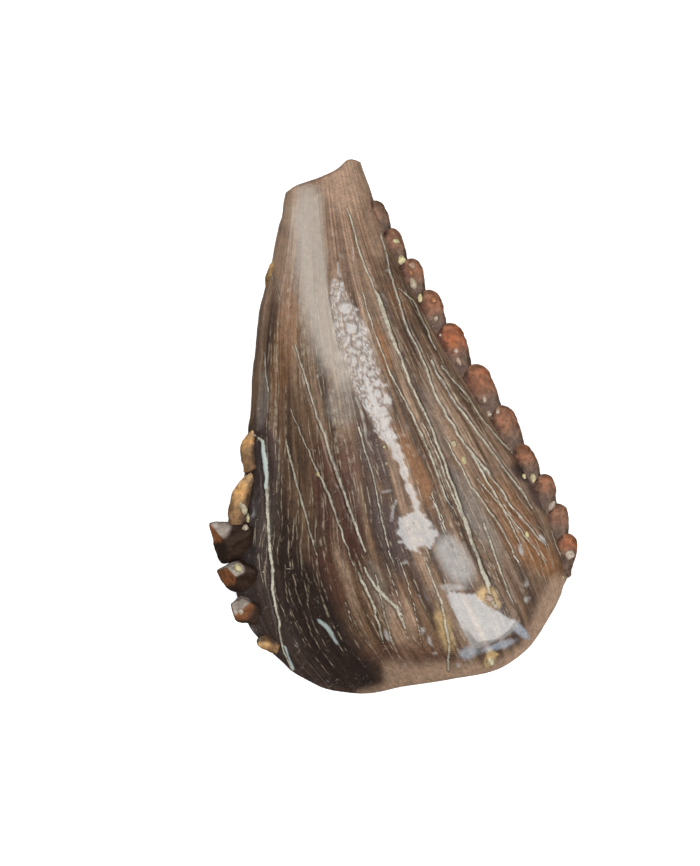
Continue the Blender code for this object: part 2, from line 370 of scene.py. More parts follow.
@dataclass(frozen=True)
class CrownForm:
    """The crown's driving sizes in millimetres, and the faces spanned between its edges."""

    front_edge: Route = (
        (-1.50, 3.27), (-1.66, 2.44), (-1.88, 1.50), (-1.97, 0.70), (-2.05, -0.20),
        (-2.14, -1.00), (-2.27, -1.72), (-2.20, -2.35), (-1.94, -2.92), (-1.44, -3.44),
    )
    back_edge: Route = (
        (-0.45, 3.71), (-0.16, 2.88), (0.28, 1.95), (0.84, 0.98),
        (1.52, -0.04), (2.05, -0.92), (2.36, -1.58), (2.47, -2.08),
    )
    tip_edge: Route = (
        (-1.50, 3.27), (-1.39, 3.34), (-1.04, 3.45), (-0.78, 3.58), (-0.60, 3.73), (-0.45, 3.71),
    )
    base_edge: Route = (
        (-1.44, -3.44), (-0.95, -3.67), (-0.45, -3.71), (0.10, -3.59), (0.80, -3.47),
        (1.50, -3.30), (1.83, -3.06), (2.13, -2.64), (2.47, -2.08),
    )
    front_edge_height: Route = ((0.0, 0.62), (0.4, 0.66), (0.8, 0.52), (1.0, 0.60))
    back_edge_height: Route = ((0.0, 0.66), (0.4, 0.90), (0.8, 0.95), (1.0, 0.86))
    cheek_bulge: Route = (
        (0.0, 0.36), (0.15, 0.66), (0.45, 1.14), (0.75, 1.46), (0.87, 1.46), (0.94, 1.34), (1.0, 0.92),
    )
    tongue_bulge: Route = ((0.0, 0.20), (0.15, 0.38), (0.45, 0.80), (0.75, 0.90), (0.90, 0.84), (1.0, 0.52))
    crest: Route = ((0.0, 0.43), (0.25, 0.49), (0.5, 0.55), (0.72, 0.58), (0.88, 0.62), (1.0, 0.66))
    flanged_section: Route = (
        (0.0, 0.0), (0.05, 0.05), (0.12, 0.13), (0.17, 0.29), (0.26, 0.64), (0.37, 0.90),
        (0.5, 1.0), (0.6, 0.93), (0.72, 0.71), (0.86, 0.43), (0.95, 0.22), (1.0, 0.0),
    )
    facetted_section: Route = (
        (0.0, 0.0), (0.05, 0.28), (0.12, 0.52), (0.19, 0.63), (0.44, 0.965), (0.47, 0.99),
        (0.52, 1.0), (0.60, 0.94), (0.75, 0.76), (0.94, 0.34), (1.0, 0.0),
    )
    tongue_section: Route = (
        (0.0, 0.0), (0.10, 0.38), (0.25, 0.78), (0.5, 1.0), (0.75, 0.78), (0.90, 0.38), (1.0, 0.0),
    )
    flange_from: float = 0.25
    flange_full: float = 0.60
    base_profile: Route = (
        (0.0, 0.0), (0.12, 0.045), (0.25, 0.05), (0.42, -0.07), (0.62, -0.27), (1.0, -0.35),
    )
    tip_profile: Route = ((0.0, 0.0), (0.30, 0.030), (1.0, 0.040))
    full_thickness: float = 0.9
    cap_narrowing: float = 0.6

    def from_above(self, across: Array, down: Array) -> Array:
        """The XY places on the crown, spanned between its four edges."""
        a, d = across[..., None], down[..., None]
        corners = (
            (1 - a) * (1 - d) * np.array(self.tip_edge[0])
            + a * (1 - d) * np.array(self.tip_edge[-1])
            + (1 - a) * d * np.array(self.base_edge[0])
            + a * d * np.array(self.base_edge[-1])
        )
        sides = (1 - a) * curve_at(self.front_edge, down) + a * curve_at(self.back_edge, down)
        ends = (1 - d) * curve_at(self.tip_edge, across) + d * curve_at(self.base_edge, across)
        return sides + ends - corners

    def edge_height(self, across: Array, down: Array) -> Array:
        """Height of the surface that joins the two cutting edges."""
        front = value_at(self.front_edge_height, down)
        back = value_at(self.back_edge_height, down)
        return (1 - across) * front + across * back

    def about_crest(self, across: Array, down: Array) -> Array:
        """The place across, stretched so that the crest is at 0.5."""
        crest = value_at(self.crest, down)
        before = 0.5 * across / crest
        after = 0.5 + 0.5 * (across - crest) / (1 - crest)
        return np.where(across < crest, before, after)

    def cheek_height(self, across: Array, down: Array) -> Array:
        """Height of the bulging face that the tooth shows."""
        place = self.about_crest(across, down)
        flange = smooth_step(self.flange_from, self.flange_full, down)
        facetted = value_at(self.facetted_section, place)
        section = (1 - flange) * facetted + flange * value_at(self.flanged_section, place)
        return self.edge_height(across, down) + value_at(self.cheek_bulge, down) * section

    def tongue_height(self, across: Array, down: Array) -> Array:
        """Height of the flatter face that the tooth lies on."""
        section = value_at(self.tongue_section, self.about_crest(across, down))
        return self.edge_height(across, down) - value_at(self.tongue_bulge, down) * section

    def outward_at(self, edge: Route, across: Array) -> Array:
        """Unit directions that point off the crown at its tip or base edge."""
        nudge = 1e-3
        ahead = curve_at(edge, np.clip(across + nudge, 0, 1))
        behind = curve_at(edge, np.clip(across - nudge, 0, 1))
        along = ahead - behind
        out = np.column_stack([-along[:, 1], along[:, 0]])
        if edge is self.base_edge:
            out = -out
        return out / np.linalg.norm(out, axis=1, keepdims=True)

    def cap(self, over: Array, under: Array, across: tuple[Array, Array],
            edge: Route, profile: Route, steps: int) -> list[tuple[Array, Array]]:
        """Rings that close one end of the crown, drawn in to a short line midway between its faces.

        Args:
            over: The end's places on the cheek face.
            under: Its places on the tongue face.
            across: Where those lie across the crown, on the cheek face and on the tongue face.
            edge: The end's edge.
            profile: How far it stands out, by the share of the way in from the faces.
            steps: How many rings.

        Returns:
            The places of each ring, on the cheek's side and on the tongue's side.
        """
        wide, narrow = across
        lower = np.column_stack([np.interp(wide, narrow, column) for column in under.T])
        middle = (over + lower) / 2
        half = (over - lower)[:, 2] / 2
        rings = []
        for step in range(1, steps + 1):
            drawn_in = step / steps
            sides = []
            for samples, sign in ((wide, 1.0), (narrow, -1.0)):
                place = 0.5 + (samples - 0.5) * (1 - self.cap_narrowing * drawn_in)
                half_there = np.interp(place, wide, half)
                offset = np.interp(samples, wide, half) * (1 - drawn_in)
                fullness = smooth_step(0.0, self.full_thickness, 2 * half_there)
                reach = fullness * value_at(profile, 1 - offset / half_there)
                line = np.column_stack([np.interp(place, wide, column) for column in middle.T])
                line[:, :2] += self.outward_at(edge, place) * reach[:, None]
                line[:, 2] += sign * offset
                sides.append(line)
            rings.append(tuple(sides))
        return rings

    def skin(self, cheek_steps: int, tongue_share: int, down_steps: int,
             tip_steps: int, base_steps: int) -> Skin:
        """The whole surface of the crown.

        Args:
            cheek_steps: Faces across the cheek face.
            tongue_share: How many of them each face of the tongue face spans.
            down_steps: Rings from tip to base.
            tip_steps: Rings over the worn tip.
            base_steps: Rings into the shed base.

        Returns:
            The rings, with where each place lies on the crown.
        """
        even = np.linspace(0.0, 1.0, cheek_steps + 1)
        wide = 0.5 * even + 0.25 * (1 - np.cos(math.pi * even))
        narrow = wide[::tongue_share]
        rings = []
        for down in np.linspace(0.0, 1.0, down_steps + 1):
            sides = []
            for samples, height in ((wide, self.cheek_height), (narrow, self.tongue_height)):
                level = np.full_like(samples, down)
                sides.append(np.column_stack([self.from_above(samples, level), height(samples, level)]))
            rings.append(tuple(sides))
        both = (wide, narrow)
        tip = self.cap(*rings[0], both, self.tip_edge, self.tip_profile, tip_steps)
        base = self.cap(*rings[-1], both, self.base_edge, self.base_profile, base_steps)
        downs = [0.0] * tip_steps + list(np.linspace(0.0, 1.0, down_steps + 1)) + [1.0] * base_steps
        ends = list(-np.linspace(1.0, 0.0, tip_steps, endpoint=False)) + [0.0] * (down_steps + 1)
        ends += list(np.linspace(0.0, 1.0, base_steps + 1)[1:])
        rows = tip[::-1] + rings + base
        points = np.array([np.vstack([over, under[-2:0:-1]]) for over, under in rows])
        loop = np.concatenate([wide, narrow[-2:0:-1]])
        shape = points.shape[:2]
        cheek = np.concatenate([np.ones_like(wide), np.zeros(len(narrow) - 2)])
        return Skin(
            points=points,
            across=np.broadcast_to(loop, shape).copy(),
            down=np.broadcast_to(np.array(downs)[:, None], shape).copy(),
            cheek=np.broadcast_to(cheek, shape).copy(),
            ends=np.broadcast_to(np.array(ends)[:, None], shape).copy(),
            cheek_steps=cheek_steps,
            tongue_steps=cheek_steps // tongue_share,
        )


# What is cracked, stained and worn on the cheek face, and where highlight and shade are painted, seen from
# above.
VEINS = seams(
    (-64, 305, 18, -45, 238, 18, -25, 188, 18, -18, 172, 18),
    (-25, 188, 30, -14, 160, 45, -4, 127, 42, 7, 104, 26),
    (7, 104, 26, 24, 57, 24, 45, 15, 22, 67, -41, 24, 90, -104, 24, 112, -167, 30, 132, -220, 34),
    (
        -17, 270, 16, -3, 211, 20, 15, 148, 24, 39, 95, 22, 62, 36, 22, 98, -24, 22, 133, -66, 24,
        164, -111, 20, 213, -167, 14,
    ),
    (-43, 186, 12, -25, 127, 14, -3, 71, 16, 25, 18, 22, 52, -41, 22, 73, -101, 18, 83, -115, 12),
    (52, 92, 18, 83, 36, 22, 132, -27, 20, 178, -90, 18, 195, -115, 12),
    (66, 85, 14, 101, 46, 18, 125, 8, 18, 164, -36, 20, 178, -55, 14),
    (6, 193, 10, 28, 176, 16, 45, 141, 18, 60, 106, 14),
    (69, -13, 14, 108, -83, 20, 146, -134, 20, 174, -190, 14),
    (116, -73, 14, 157, -120, 14, 213, -190, 10),
    (125, -134, 16, 146, -195, 18, 164, -244, 16),
    (52, -90, 14, 69, -146, 12, 83, -167, 10),
    (38, 8, 12, 60, -36, 16, 77, -83, 18, 97, -132, 22, 119, -188, 30, 139, -251, 26),
    (87, -6, 14, 119, -55, 20, 150, -111, 18, 178, -167, 12),
    (49, -97, 12, 66, -125, 12, 74, -153, 10),
    (220, -146, 12, 234, -181, 16, 248, -209, 14),
    (
        -196, -10, 16, -183, -22, 34, -178, -48, 44, -176, -115, 32, -171, -188, 28, -168, -238, 30,
        -161, -267, 22, -155, -315, 20, -140, -344, 14,
    ),
    (-151, -17, 18, -136, -76, 22, -116, -146, 18, -105, -181, 12),
    (-144, 25, 10, -116, -41, 18, -95, -83, 24, -80, -125, 20, -55, -195, 14),
    (-137, 113, 12, -119, 57, 18, -108, 20, 18, -87, -41, 26, -60, -118, 30, -39, -174, 22),
    (-49, -1, 18, -29, -69, 16, -10, -160, 16, 3, -202, 14),
    (-181, 104, 12, -175, 48, 12),
    (-50, -202, 22, -29, -244, 28, -14, -300, 20),
    (-41, -196, 24, -25, -223, 30, 4, -251, 28, 15, -279, 22),
    (-24, -204, 14, -13, -258, 18, -3, -297, 20),
    (10, -188, 12, 27, -244, 16, 38, -300, 14),
    (45, -188, 16, 66, -244, 20, 76, -300, 26, 77, -339, 20),
    (-67, -244, 12, -56, -279, 12),
    (-11, -188, 12, 4, -230, 14, 21, -300, 10),
    (-186, -205, 10, -152, -200, 10, -136, -198, 10),
    (-186, 246, 10, -175, 230, 10, -158, 176, 10),
)
BLUE_VEINS = seams(
    (-184, -22, 16, -179, -50, 30, -178, -85, 14),
    (-102, -272, 22, -91, -281, 24, -78, -304, 12),
    (-152, -310, 12, -140, -340, 12),
)
# The bubbly crust on the crest below the tip; its pale tint is partly painted highlight.
CRUST_BAND = seam(-77, 197, 130, -70, 169, 190, -57, 123, 300, -43, 76, 300, -24, 31, 220, -6, -14, 120)
# Polished patches on the crest; the chalk tint laid on them is painted highlight.
WHITE_HIGHLIGHT_PATCH = route(
    74, -228, 112, -232, 126, -246, 144, -256, 175, -273, 162, -288, 140, -297, 122, -305, 108,
    -309, 98, -287, 84, -260, 76, -238,
)
RING_HIGHLIGHT_PATCH = route(
    6, -126, 21, -120, 32, -112, 43, -123, 60, -150, 52, -165, 32, -171, 13, -165, 4, -146,
)
STAINS_AND_PAINTED_LIGHT = (
    Area(
        Tint.DARK,
        route(
            -256, 3, -181, -6, -161, -76, -130, -160, -99, -213, -67, -265, -39, -316, -1, -350,
            -32, -381, -130, -370, -193, -314, -263, -244, -284, -146,
        ),
        0.34,
    ),
    # The two cream areas: paler enamel, partly a painted reflection.
    Area(
        Tint.CREAM_AND_SHEEN,
        route(
            -130, 333, -108, 333, -105, 295, -101, 232, -97, 176, -85, 120, -60, 53, -80, 57, -108,
            104, -130, 169, -141, 239, -144, 295,
        ),
        0.34, 0.95,
    ),
    Area(
        Tint.CREAM_AND_SHEEN,
        route(
            -119, 322, -99, 330, -95, 295, -91, 232, -87, 176, -77, 127, -57, 64, -69, 59, -94, 113,
            -111, 176, -119, 246,
        ),
        0.07, 0.85,
    ),
    Area(
        Tint.TAN,
        route(
            223, -214, 276, -195, 262, -258, 220, -314, 178, -356, 133, -356, 136, -333, 157, -314,
            183, -297, 192, -269, 207, -238,
        ),
        0.2, 0.95,
    ),
    Area(
        Tint.TAN,
        route(
            -11, -330, 52, -328, 108, -330, 143, -328, 150, -384, 52, -398, -60, -398, -46, -372,
            -7, -361,
        ),
        0.22, 0.75,
    ),
    # Painted highlight: a chalk tint on the white and ring highlight patches.
    Area(Tint.CHALK_AND_HIGHLIGHT, WHITE_HIGHLIGHT_PATCH, 0.05, 0.6),
    Area(Tint.CHALK_AND_HIGHLIGHT, RING_HIGHLIGHT_PATCH, 0.06, 0.28),
    Area(Tint.YELLOW, route(130, -308, 144, -316, 130, -336, 125, -328), 0.03, 0.9),
    *spots(
        Tint.VIOLET,
        (-1.75, -0.36, 0.5, 0.16, 12), (-0.29, -0.34, 0.45, 0.16, 20, 0.7),
        (-0.1, -1.46, 0.6, 0.17, 18, 0.9), (1.79, -0.7, 0.24, 0.06, 48, 0.9),
        (2.07, -1.08, 0.36, 0.08, 42, 0.9),
    ),
    *spots(
        Tint.RED,
        (-0.8, -1.11, 0.85, 0.26, 16, 0.9), (-0.6, -0.5, 0.35, 0.14, 14, 0.8),
        (-0.91, -2.16, 0.5, 0.22, 20, 0.7), (0.1, -3.21, 0.2, 0.75, 0, 0.55),
        (0.03, -2.44, 0.35, 0.15, 16, 0.5), (0.31, -1.47, 0.06, 0.07, 20, 0.75),
    ),
    *spots(
        Tint.ORANGE,
        (-1.53, 1.13, 0.8, 0.17, -6, 0.55), (0.29, -0.55, 0.6, 0.1, 22, 0.8),
        (-0.14, 1.06, 0.36, 0.07, 18, 0.8), (0.1, 1.76, 0.3, 0.1, 18, 0.4),
        (2.06, -1.82, 0.42, 0.2, 40, 1), (1.57, -1.11, 0.6, 0.2, 38, 0.6),
        (1.78, -1.6, 0.5, 0.2, 38, 0.7), (0.73, -0.2, 0.6, 0.14, 26, 0.4),
    ),
    *spots(
        Tint.GREY,
        (-0.74, 0.29, 0.34, 0.22, 10, 0.7), (1.13, -1.18, 0.75, 0.13, 26, 0.7),
        (0.62, 0.01, 0.55, 0.1, 24, 0.5), (-0.18, -2.3, 0.42, 0.12, 22, 0.5),
        (-1.83, 0.36, 0.4, 0.08, -6, 0.6),
    ),
    *spots(
        Tint.TAN,
        (-0.25, 2.77, 0.45, 0.14, 12, 0.45), (-1.43, 3.05, 0.3, 0.1, -8, 0.8),
        (0.52, 1.76, 0.6, 0.05, 28, 0.4), (-1.57, 2.21, 0.45, 0.11, -6, 0.45),
        (0.8, 0.01, 0.8, 0.14, 28, 0.3), (0.13, -2.69, 0.35, 0.2, 14, 0.35),
        (-0.63, 3.42, 0.42, 0.36, 0, 0.5),
    ),
    *spots(
        Tint.DARK,
        (-1.57, 0.62, 0.7, 0.16, -4, 0.22), (-0.11, -1.96, 0.4, 0.16, 16, 0.35),
        (-0.74, -1.32, 0.6, 0.18, 16, 0.3), (-1.95, -0.97, 0.9, 0.14, -2, 1),
        (1.81, -0.67, 0.22, 0.07, 46, 0.6),
    ),
    # The first chalk spot paints a soft highlight beside the crest.
    *spots(
        Tint.CHALK_AND_HIGHLIGHT,
        (0.83, -1.82, 0.34, 0.2, 30, 0.55), (0.83, -2.2, 0.06, 0.17, 0, 0.6),
        (1.78, -1.71, 0.06, 0.03, 20, 0.9), (2.1, -1.58, 0.08, 0.028, 40, 0.8),
        (1.82, -2.18, 0.04, 0.03, 10, 0.6), (1.85, -2.41, 0.04, 0.04, 0, 0.7),
        (-0.07, -2.9, 0.1, 0.03, 20, 0.8), (0.42, -2.86, 0.04, 0.03, 0, 0.7),
        (0.14, -1.88, 0.022, 0.04, 0, 0.8), (-0.1, -0.9, 0.022, 0.06, 10, 0.5),
        (0.52, -2.98, 0.06, 0.022, 10, 0.6), (0.57, -3.14, 0.022, 0.035, 0, 0.6),
        (0.9, -3.33, 0.03, 0.022, 0, 0.6),
    ),
    *spots(
        Tint.YELLOW,
        (1.27, -2.32, 0.11, 0.12, 0, 0.9), (1.36, -2.44, 0.07, 0.07, 0, 0.8),
        (0.7, -2.83, 0.32, 0.1, 12, 0.55),
    ),
    # Painted highlight: the bluish fringe along the lower edge of the white highlight patch.
    *spots(
        Tint.BLUE,
        (1.75, -2.84, 0.06, 0.16, -40, 0.9), (1.44, -3.04, 0.05, 0.24, 20, 0.8),
        (1.05, -3.16, 0.08, 0.14, 10, 0.7),
    ),
    # Painted shade in the notches between the back teeth and along the foot of the front edge.
    *spots(
        Tint.POCKET_SHADE,
        (1.08, 0.84, 0.06, 0.05, 20, 1), (0.7, 1.37, 0.06, 0.04, 20, 0.6),
        (1.78, -0.62, 0.12, 0.05, 45, 0.6), (-2.04, -0.62, 0.45, 0.05, 0, 0.8),
        (-2.03, -1.88, 0.45, 0.16, 0, 0.7),
    ),
)
# The largest of the glassy bubbles that crowd the crest below the tip.
BUBBLES = spots(
    Tint.CHALK_AND_HIGHLIGHT,
    (-0.67, 1.65, 0.085, 0.105, 10), (-0.77, 1.85, 0.045, 0.055), (-0.6, 1.85, 0.045, 0.06),
    (-0.59, 1.37, 0.1, 0.085, 30), (-0.67, 1.18, 0.11, 0.06, -30), (-0.49, 1.15, 0.06, 0.05),
    (-0.57, 0.91, 0.08, 0.07), (-0.42, 0.95, 0.06, 0.045), (-0.67, 0.73, 0.06, 0.06),
    (-0.62, 0.59, 0.06, 0.055), (-0.77, 0.84, 0.045, 0.04), (-0.31, 0.73, 0.06, 0.05, 20),
    (-0.43, 0.53, 0.045, 0.045), (-0.22, 0.45, 0.075, 0.05, 20), (-0.13, 0.2, 0.08, 0.05, 20),
    (-0.38, 0.34, 0.045, 0.035), (-0.83, 1.34, 0.04, 0.04), (-0.87, 1.13, 0.035, 0.04),
    (-0.8, 1.6, 0.04, 0.03),
)
SOFT_GLOW = Spot(Tint.CHALK_AND_HIGHLIGHT, (0.83, -1.82), 0.36, 0.20, 30, 0.28, 0.6)
POLISHED_STREAK = seam(
    -35, 48, 50, -18, 15, 100, -1, -24, 120, 10, -50, 100, 18, -76, 85, 27, -101, 90, 35, -123, 120,
)
POLISHED_FINE = seams(
    (-52, 39, 20, -41, 8, 30, -29, -34, 15),
    (4, -104, 20, -7, -132, 35),
    (-77, 230, 20, -73, 210, 20),
    (-60, 249, 15, -57, 230, 15),
    (13, -167, 20, 35, -178, 20),
)


@dataclass
class Net:
    """The faces of a piece made of rings of points, and their corners on its flat map."""

    sides: int
    faces: list[list[int]] = field(default_factory=list)
    corners: list[list[Point]] = field(default_factory=list)
    lid_edge: float = 0.001

    def band(self, base: int, levels: Sequence[float]) -> None:
        """Joins rings, the first of which starts at point base, each at its own level of the map."""
        for ring, (low, high) in enumerate(zip(levels, levels[1:])):
            start = base + ring * self.sides
            for side in range(self.sides):
                here, there = start + side, start + (side + 1) % self.sides
                left, right = side / self.sides, (side + 1) / self.sides
                self.faces.append([here, there, there + self.sides, here + self.sides])
                self.corners.append([(left, low), (right, low), (right, high), (left, high)])

    def cone(self, base: int, end: int, low: float, high: float, downwards: bool = False) -> None:
        """Draws the ring that starts at point base in to one point.

        Args:
            base: The ring's first point.
            end: The point.
            low: The ring's level on the map.
            high: The point's level.
            downwards: Whether the point lies below the ring.
        """
        for side in range(self.sides):
            pair = [base + side, base + (side + 1) % self.sides]
            left, right = side / self.sides, (side + 1) / self.sides
            flat = [(left, low), (right, low)]
            turn = -1 if downwards else 1
            self.faces.append(pair[::turn] + [end])
            self.corners.append(flat[::turn] + [((left + right) / 2, high)])

    def lid(self, base: int, level: float, downwards: bool = False) -> None:
        """Closes the ring that starts at point base with one face."""
        self.faces.append([base + side for side in range(self.sides)][:: -1 if downwards else 1])
        self.corners.append([(self.lid_edge, level)] * self.sides)


class Edge(Enum):
    """A cutting edge of the crown, by the side that it faces."""

    BACK = 1
    FRONT = -1


@dataclass(frozen=True)
class CuttingTooth:
    """One cutting tooth: a thumb that springs from its edge and points to the crown's tip.

    down is its place down its edge. length runs along the edge, and root_out, tip_out and
    bow say how far out of the edge its root, its tip and its middle lie. point is 0 for a
    round end and 1 for a sharp one, and lift is how far its tip rises. All but down, point
    and glow are in millimetres. glow is how orange it is, from 0 to 1.
    """

    down: float
    length: float
    width: float
    tip_out: float
    root_out: float = -0.04
    bow: float = 0.04
    depth: float = 0.28
    point: float = 0.0
    lift: float = 0.05
    glow: float = 0.5


BACK_TEETH = (
    CuttingTooth(0.119, 0.46, 0.23, -0.04, glow=0.05),
    CuttingTooth(0.190, 0.50, 0.27, 0.02, glow=0.30),
    CuttingTooth(0.269, 0.54, 0.30, 0.09, glow=0.40),
    CuttingTooth(0.351, 0.60, 0.31, 0.12, glow=0.50),
    CuttingTooth(0.442, 0.70, 0.34, 0.13, glow=1.0),
    CuttingTooth(0.551, 0.76, 0.36, 0.13, glow=0.62),
    CuttingTooth(0.649, 0.68, 0.35, 0.09, glow=0.40),
    CuttingTooth(0.732, 0.56, 0.27, 0.02, bow=0.07, glow=0.50),
    CuttingTooth(0.806, 0.44, 0.31, 0.11, glow=0.40),
    CuttingTooth(0.878, 0.50, 0.31, 0.10, root_out=-0.10, glow=0.30),
    CuttingTooth(0.938, 0.42, 0.31, 0.05, root_out=-0.10, bow=0.05, lift=0.12, glow=0.8),
)
FRONT_SCALLOPS = (
    CuttingTooth(0.155, 0.44, 0.18, -0.06, root_out=-0.08, bow=0.02, depth=0.20, point=0.5, glow=0.3),
    CuttingTooth(0.505, 0.54, 0.22, -0.13, root_out=-0.10, bow=0.08, depth=0.20, point=0.6, glow=0.9),
    CuttingTooth(0.605, 0.82, 0.27, -0.15, root_out=-0.02, bow=0.08, depth=0.22, point=0.6, glow=0.8),
    CuttingTooth(0.925, 0.26, 0.20, 0.02, root_out=-0.12, bow=0.0, depth=0.20, glow=0.6),
)


@dataclass
class ToothRow:
    """A row of cutting teeth that share one finish, rooted in one edge of the crown."""

    name: str
    edge: Edge
    teeth: tuple[CuttingTooth, ...]
    finish: "ToothFinish"
    form: CrownForm = field(default_factory=CrownForm)
    rings: int = 44
    sides: int = 56
    below: float = 0.58
    drawn_in_from: float = -0.15
    root_length: float = 0.42
    root_sunk: float = 0.10
    inner_breadth: float = 1.5
    boxiness: float = 0.88
    notch_in: float = 0.55
    notch_reach: float = 0.17
    knob_size: float = 0.09
    knob_height: float = 0.034
    map_share: float = 0.96

    def surface(self, tooth: CuttingTooth) -> tuple[Array, Array, Array]:
        """The rings of one cutting tooth, the last of them drawn in to a point.

        Args:
            tooth: Its sizes.

        Returns:
            The places, by ring and side, how far up the tooth each lies, and how much painted
            shade it takes on its inner side and by the notch at its tip, both from 0 to 1.
        """
        line = self.form.back_edge if self.edge is Edge.BACK else self.form.front_edge
        heights = self.form.back_edge_height if self.edge is Edge.BACK else self.form.front_edge_height
        before, foot, after = curve_at(line, tooth.down + np.array([-0.01, 0.0, 0.01]))
        to_tip = (before - after) / np.linalg.norm(before - after)
        out = np.array([to_tip[1], -to_tip[0]]) * self.edge.value
        rise = tooth.tip_out - tooth.root_out
        round_from = (1 - 0.62 * tooth.width / tooth.length) * (1 - tooth.point)
        # Rings crowd towards the rounded end.
        quarter = np.linspace(0.0, math.pi / 2, self.rings + 1)
        way = (1 + self.root_length) * np.sin(quarter) - self.root_length
        past = np.clip((way - round_from) / (1 - round_from), 0.0, 1.0)
        early = np.clip((self.drawn_in_from - way) / (self.drawn_in_from + self.root_length), 0.0, 1.0)
        swell = (1 - past**2.1) ** (0.5 + 0.5 * tooth.point) * np.sqrt(1 - 0.85 * early**2)
        reach = tooth.root_out + rise * way + tooth.bow * np.sin(math.pi * np.maximum(way, 0.0))
        reach = reach - self.root_sunk * early**2
        middle = foot + out * reach[:, None] + to_tip * (tooth.length * (way - self.below))[:, None]
        slope = (rise + tooth.bow * math.pi * np.cos(math.pi * np.maximum(way, 0.0))) / tooth.length
        across = out - to_tip * slope[:, None]
        across = across / np.linalg.norm(across, axis=1, keepdims=True)
        turns = np.linspace(0.0, 2 * math.pi, self.sides, endpoint=False)
        wide = np.sign(np.cos(turns)) * np.abs(np.cos(turns)) ** self.boxiness
        high = np.sign(np.sin(turns)) * np.abs(np.sin(turns)) ** self.boxiness
        spread = wide * np.where(wide < 0, self.inner_breadth, 1.0)
        flat = middle[:, None] + across[:, None] * (spread * swell[:, None] * tooth.width / 2)[..., None]
        level = value_at(heights, np.array([tooth.down]))[0] + tooth.lift * way
        z = level[:, None] + high * swell[:, None] * tooth.depth / 2
        centre = np.concatenate([middle, level[:, None]], axis=1)[:, None]
        places = np.concatenate([flat, z[..., None]], axis=-1)
        knobs = soft_noise(places, self.knob_size * 2.2, 61, 2) - 0.5
        knobs = knobs + 0.7 * (soft_noise(places, self.knob_size * 0.6, 63, 2) - 0.5)
        away = places - centre
        size = np.maximum(np.linalg.norm(away, axis=-1, keepdims=True), 1e-9)
        grown = self.knob_height * knobs[..., None] * np.sqrt(swell)[:, None, None]
        up = np.broadcast_to(np.clip(way, 0, 1)[:, None], z.shape)
        # Painted shade: darker on the inner side and by the notch at the tip's inner corner.
        notch = middle[-1] - across[-1] * tooth.width * self.notch_in
        from_notch = np.linalg.norm(flat - notch, axis=-1)
        inner = np.maximum(np.clip(-wide, 0, 1), 2 * smooth_step(self.notch_reach, 0.05, from_notch))
        return places + away / size * grown, up, inner

    def build(self) -> bpy.types.Object:
        """Makes the whole row as one piece, and dresses it."""
        net = Net(self.sides)
        points, ways, glows, inner_shades = [], [], [], []
        for number, tooth in enumerate(self.teeth):
            places, way, inner = self.surface(tooth)
            base = sum(len(part) for part in points)
            body = places[:-1].reshape(-1, 3)
            points.append(np.vstack([body, places[-1, :1]]))
            ways.append(np.append(way[:-1].reshape(-1), 1.0))
            glows.append(np.full(len(body) + 1, tooth.glow))
            inner_shades.append(np.append(inner[:-1].reshape(-1), 0.0))
            shelf = number / len(self.teeth)
            levels = shelf + self.map_share / len(self.teeth) * np.arange(self.rings + 1) / self.rings
            net.band(base, levels[:-1])
            last = base + (self.rings - 1) * self.sides
            net.cone(last, last + self.sides, levels[-2], levels[-1])
            net.lid(base, shelf, downwards=True)
        values = {
            "way": np.concatenate(ways),
            "glow": np.concatenate(glows),
            # How much painted shade each point takes.
            "inner": np.concatenate(inner_shades),
        }
        piece = mesh_object(self.name, np.vstack(points), net.faces, values, net.corners)
        dress(piece, self.finish.material())
        return piece


def ball(rings: int, sides: int, pole_share: float = 1.0) -> Array:
    """Unit directions by ring and side, from pole_share of the way down to as far up."""
    lift = np.linspace(-math.pi / 2 * pole_share, math.pi / 2 * pole_share, rings + 1)[:, None]
    turns = np.linspace(0.0, 2 * math.pi, sides, endpoint=False)[None]
    level = np.ones_like(turns)
    return np.stack([np.cos(lift) * np.cos(turns), np.cos(lift) * np.sin(turns), np.sin(lift) * level], -1)


@dataclass(frozen=True)
class Facet:
    """A flat face of a broken spike: which way it points and how far from the middle it lies."""

    towards: tuple[float, float, float]
    out: float
    pale: float = 0.0
    glow: float = 0.0


@dataclass(frozen=True)
class BrokenSpike:
    """A spike of the front edge, broken to flat faces. Places and sizes are in millimetres."""

    middle: tuple[float, float, float]
    facets: tuple[Facet, ...]
    tip: Point
    worn_reach: float

    def surface(self, rings: int, sides: int, sharpness: float) -> tuple[Array, Array, Array]:
        """The spike's surface, drawn in to a point above and below.

        Args:
            rings: How many rings.
            sides: How many places on each.
            sharpness: How crisp the corners between its faces are.

        Returns:
            The places by ring and side, and how pale and how stained each is.
        """
        towards = ball(rings, sides)
        pulls, pales, glows = [], [], []
        for facet in self.facets:
            facing = np.array(facet.towards) / np.linalg.norm(facet.towards)
            pulls.append((np.maximum(towards @ facing, 0.0) / facet.out) ** sharpness)
            pales.append(facet.pale)
            glows.append(facet.glow)
        total = np.sum(pulls, axis=0)
        size = total ** (-1 / sharpness)
        pale = np.tensordot(pales, pulls, axes=1) / total
        glow = np.tensordot(glows, pulls, axes=1) / total
        places = np.array(self.middle) + towards * size[..., None]
        from_tip = np.linalg.norm(places[..., :2] - np.array(self.tip), axis=-1)
        near = smooth_step(self.worn_reach * 1.4, self.worn_reach * 0.6, from_tip)
        return places, pale * near, glow * near


def facets(*rows: tuple[float, ...]) -> tuple[Facet, ...]:
    """Facets from rows of the direction's x, y and z, out and, where they differ, pale and glow."""
    return tuple(Facet(row[:3], *row[3:]) for row in rows)


